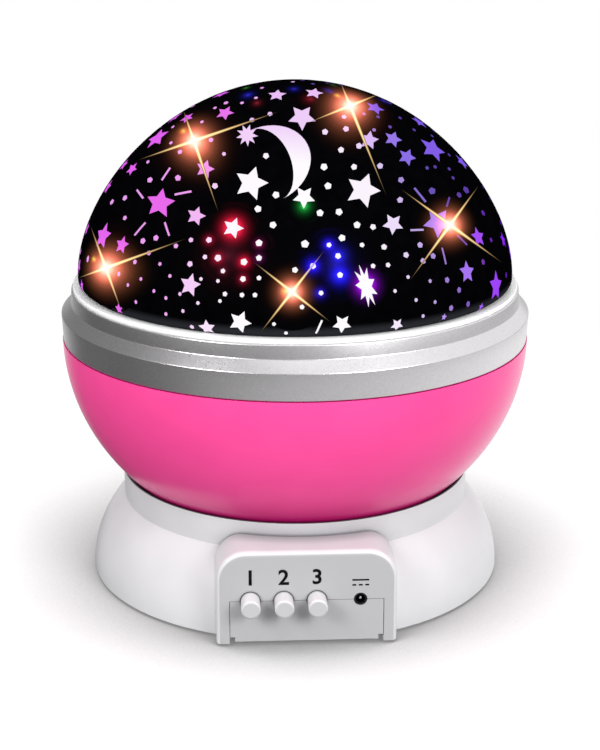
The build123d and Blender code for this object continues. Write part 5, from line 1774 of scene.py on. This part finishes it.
@dataclass
class TrimRing:
    """Sprayed silver ring between the bowl and the dome, with the seat and the slots for the lip."""

    foot_radius: float = 62.2 * MM
    step_radius: float = 59.95 * MM
    neck_radius: float = 59.65 * MM
    bore_radius: float = 57.1 * MM
    slot_radius: float = 58.5 * MM
    skirt_radius: float = 58.2 * MM
    skirt_wall: float = 1.4 * MM
    bevel_low: float = 73.1 * MM
    bevel_high: float = 75.9 * MM
    seat_low: float = 70.0 * MM
    seat_high: float = 71.5 * MM
    seat_bore: float = 46.0 * MM
    ledge_low: float = 75.3 * MM
    ledge_high: float = 77.4 * MM
    hang: float = 66.2 * MM
    edge: float = 0.45 * MM             # rounding of the edges that the hand meets
    rim: float = 0.3 * MM               # rounding of the neck and of the seat
    corner: float = 0.2 * MM            # rounding of the rest
    slot_half: float = 13.0             # degrees
    steps: int = 360

    def build(self) -> None:
        """Spins the ring and opens its three slots."""
        low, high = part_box("trim_ring")
        skirt = self.skirt_radius + self.skirt_wall
        ring = spun("silver_ring", rounded([
            (self.foot_radius, self.hang, self.corner), (high.x, self.bevel_low, self.edge),
            (self.step_radius, self.bevel_high, self.edge), (self.neck_radius, high.z, self.rim),
            (self.bore_radius, high.z, self.corner), (self.bore_radius, self.ledge_high, 0),
            (self.slot_radius, self.ledge_high, 0), (self.slot_radius, self.ledge_low, 0),
            (self.bore_radius, self.ledge_low, 0), (self.bore_radius, self.seat_high, 0),
            (self.seat_bore, self.seat_high, self.rim), (self.seat_bore, self.seat_low, self.rim),
            (self.skirt_radius, self.seat_low, 0), (self.skirt_radius, low.z, self.corner),
            (skirt, low.z, self.corner), (skirt, self.hang, 0),
        ]), self.steps)
        push_out(ring, self.in_slot, self.slot_radius)
        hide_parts("trim_ring")
        dress(ring, SILVER_PAINT, "rotor")

    def in_slot(self, place: Vector) -> bool:
        """True on the ledge's inner edge, within a slot that lets a tab of the lip pass."""
        radius = math.hypot(place.x, place.y)
        return (by_tab(place, self.slot_half) and place.z > self.ledge_high - HEIGHT_SLACK
                and radius < self.slot_radius - RADIUS_SLACK)


@dataclass
class DomeLip:
    """Glossy white lip that carries the dome, with a rounded nose over the ring and three tabs."""

    bore: float = 54.5 * MM
    spigot: float = 56.8 * MM
    tab_radius: float = 58.2 * MM
    tab_high: float = 77.0 * MM
    tab_top: float = 0.03 * MM          # a tab's top runs back to the spigot over this height
    tab_half: float = 10.0              # degrees
    nose_low: float = 79.4 * MM
    nose_round: float = 0.45 * MM
    nose_foot: float = 0.3 * MM         # rounding of the nose's lower edge
    corner: float = 0.2 * MM
    round_steps: int = 5
    steps: int = 360

    def build(self) -> None:
        """Spins the lip and draws out its tabs."""
        low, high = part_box("dome_collar")
        lip = spun("white_lip", rounded([
            (self.bore, low.z, self.corner), (self.spigot, low.z, 0), (self.spigot, self.tab_high, 0),
            (self.spigot, self.tab_high + self.tab_top, 0), (self.spigot, self.nose_low, 0),
            (high.x, self.nose_low, self.nose_foot), (high.x, high.z, self.nose_round),
            (self.bore, high.z, self.corner),
        ], self.round_steps), self.steps)
        push_out(lip, self.in_tab, self.tab_radius)
        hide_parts("dome_collar")
        dress(lip, LIP_WHITE, "dome")

    def in_tab(self, place: Vector) -> bool:
        """True on the outside of the spigot's foot within a tab."""
        radius = math.hypot(place.x, place.y)
        return (by_tab(place, self.tab_half) and place.z < self.tab_high + HEIGHT_SLACK
                and radius > self.spigot - RADIUS_SLACK)


@dataclass
class PanelMarks:
    """Printed numbers over the buttons and the direct-current sign over the socket."""

    face: float = -57.0 * MM            # the panel's front
    ink: float = 0.05 * MM
    number_height: float = 4.1 * MM
    number_foot: float = 16.65 * MM
    number_share: float = 0.70          # height of a number as a share of its lettering's size
    number_bold: float = 0.11 * MM      # how far its outline is pushed out
    button_places: tuple = (-14.1 * MM, -5.8 * MM, 2.5 * MM)
    sign_place: tuple = (13.4 * MM, 16.9 * MM)
    sign_width: float = 4.2 * MM
    bar: float = 0.42 * MM              # height of the sign's bars
    bar_rise: float = 1.6               # bar heights from the sign's middle to each of its rows
    dashes: float = 4.4                 # dashes in the sign's width, with the gaps between them
    bar_bevel: float = 0.02 * MM

    def build(self) -> None:
        """Prints the numbers and the sign."""
        for number, across in enumerate(self.button_places, 1):
            self.print_number(str(number), across)
        self.print_sign()

    def print_number(self, number: str, across: float) -> None:
        """Prints one number over its button.

        Args:
            number: The number.
            across: The button's place along the panel.
        """
        bpy.ops.object.text_add()
        letter = bpy.context.object
        letter.name = "button_number_" + number
        letter.data.body = number
        letter.data.align_x = "CENTER"
        letter.data.size = self.number_height / self.number_share
        letter.data.extrude = self.ink / 2
        letter.data.offset = self.number_bold
        bpy.ops.object.convert(target="MESH")
        piece = bpy.context.object
        corners = [vertex.co for vertex in piece.data.vertices]
        foot, top = min(c.y for c in corners), max(c.y for c in corners)
        grow = self.number_height / (top - foot)
        middle = (max(c.x for c in corners) + min(c.x for c in corners)) / 2
        piece.scale = (grow, grow, 1)
        piece.rotation_euler = (math.radians(90), 0, 0)
        piece.location = (across - middle * grow, self.face - self.ink / 2, self.number_foot - foot * grow)
        weld(settle(piece))
        dress(piece, PANEL_INK, "base")

    def print_sign(self) -> None:
        """Prints a long bar over three short ones, the sign for direct current."""
        across, up = self.sign_place
        rise = self.bar_rise * self.bar
        dash = self.sign_width / self.dashes
        bars = [(across, up + rise, self.sign_width)]
        bars += [(across + step * (self.sign_width - dash) / 2, up - rise, dash) for step in (-1, 0, 1)]
        strokes = []
        for x, z, width in bars:
            bpy.ops.mesh.primitive_cube_add(size=1, location=(x, self.face - self.ink / 2, z),
                                            scale=(width, self.ink, self.bar))
            strokes.append(bpy.context.object)
            bpy.ops.object.transform_apply(location=True, rotation=True, scale=True)
            edit_whole(strokes[-1], lambda: bpy.ops.mesh.bevel(offset=self.bar_bevel, segments=1))
        dress(settle(join(strokes, "direct_current_sign")), PANEL_INK, "base")


def dress_nodes() -> None:
    """Gives every solid that stays its finish, by its own name or by its slot's."""
    for name, node in frame["nodes"].items():
        for slot in node.material_slots:
            finish = NODE_FINISHES.get(name) or SLOT_FINISHES[slot.material.name]
            slot.material = finish.material()
            log.info("%s: %s", name, finish.name)


def main() -> None:
    """Builds every part of the scene in order."""
    logging.basicConfig(level=logging.INFO, format="%(name)s: %(message)s")
    studio = Studio()
    studio.build()
    dress_nodes()
    TrimRing().build()
    DomeLip().build()
    Dome().build(studio)
    PanelMarks().build()


if __name__ == "__main__":
    main()
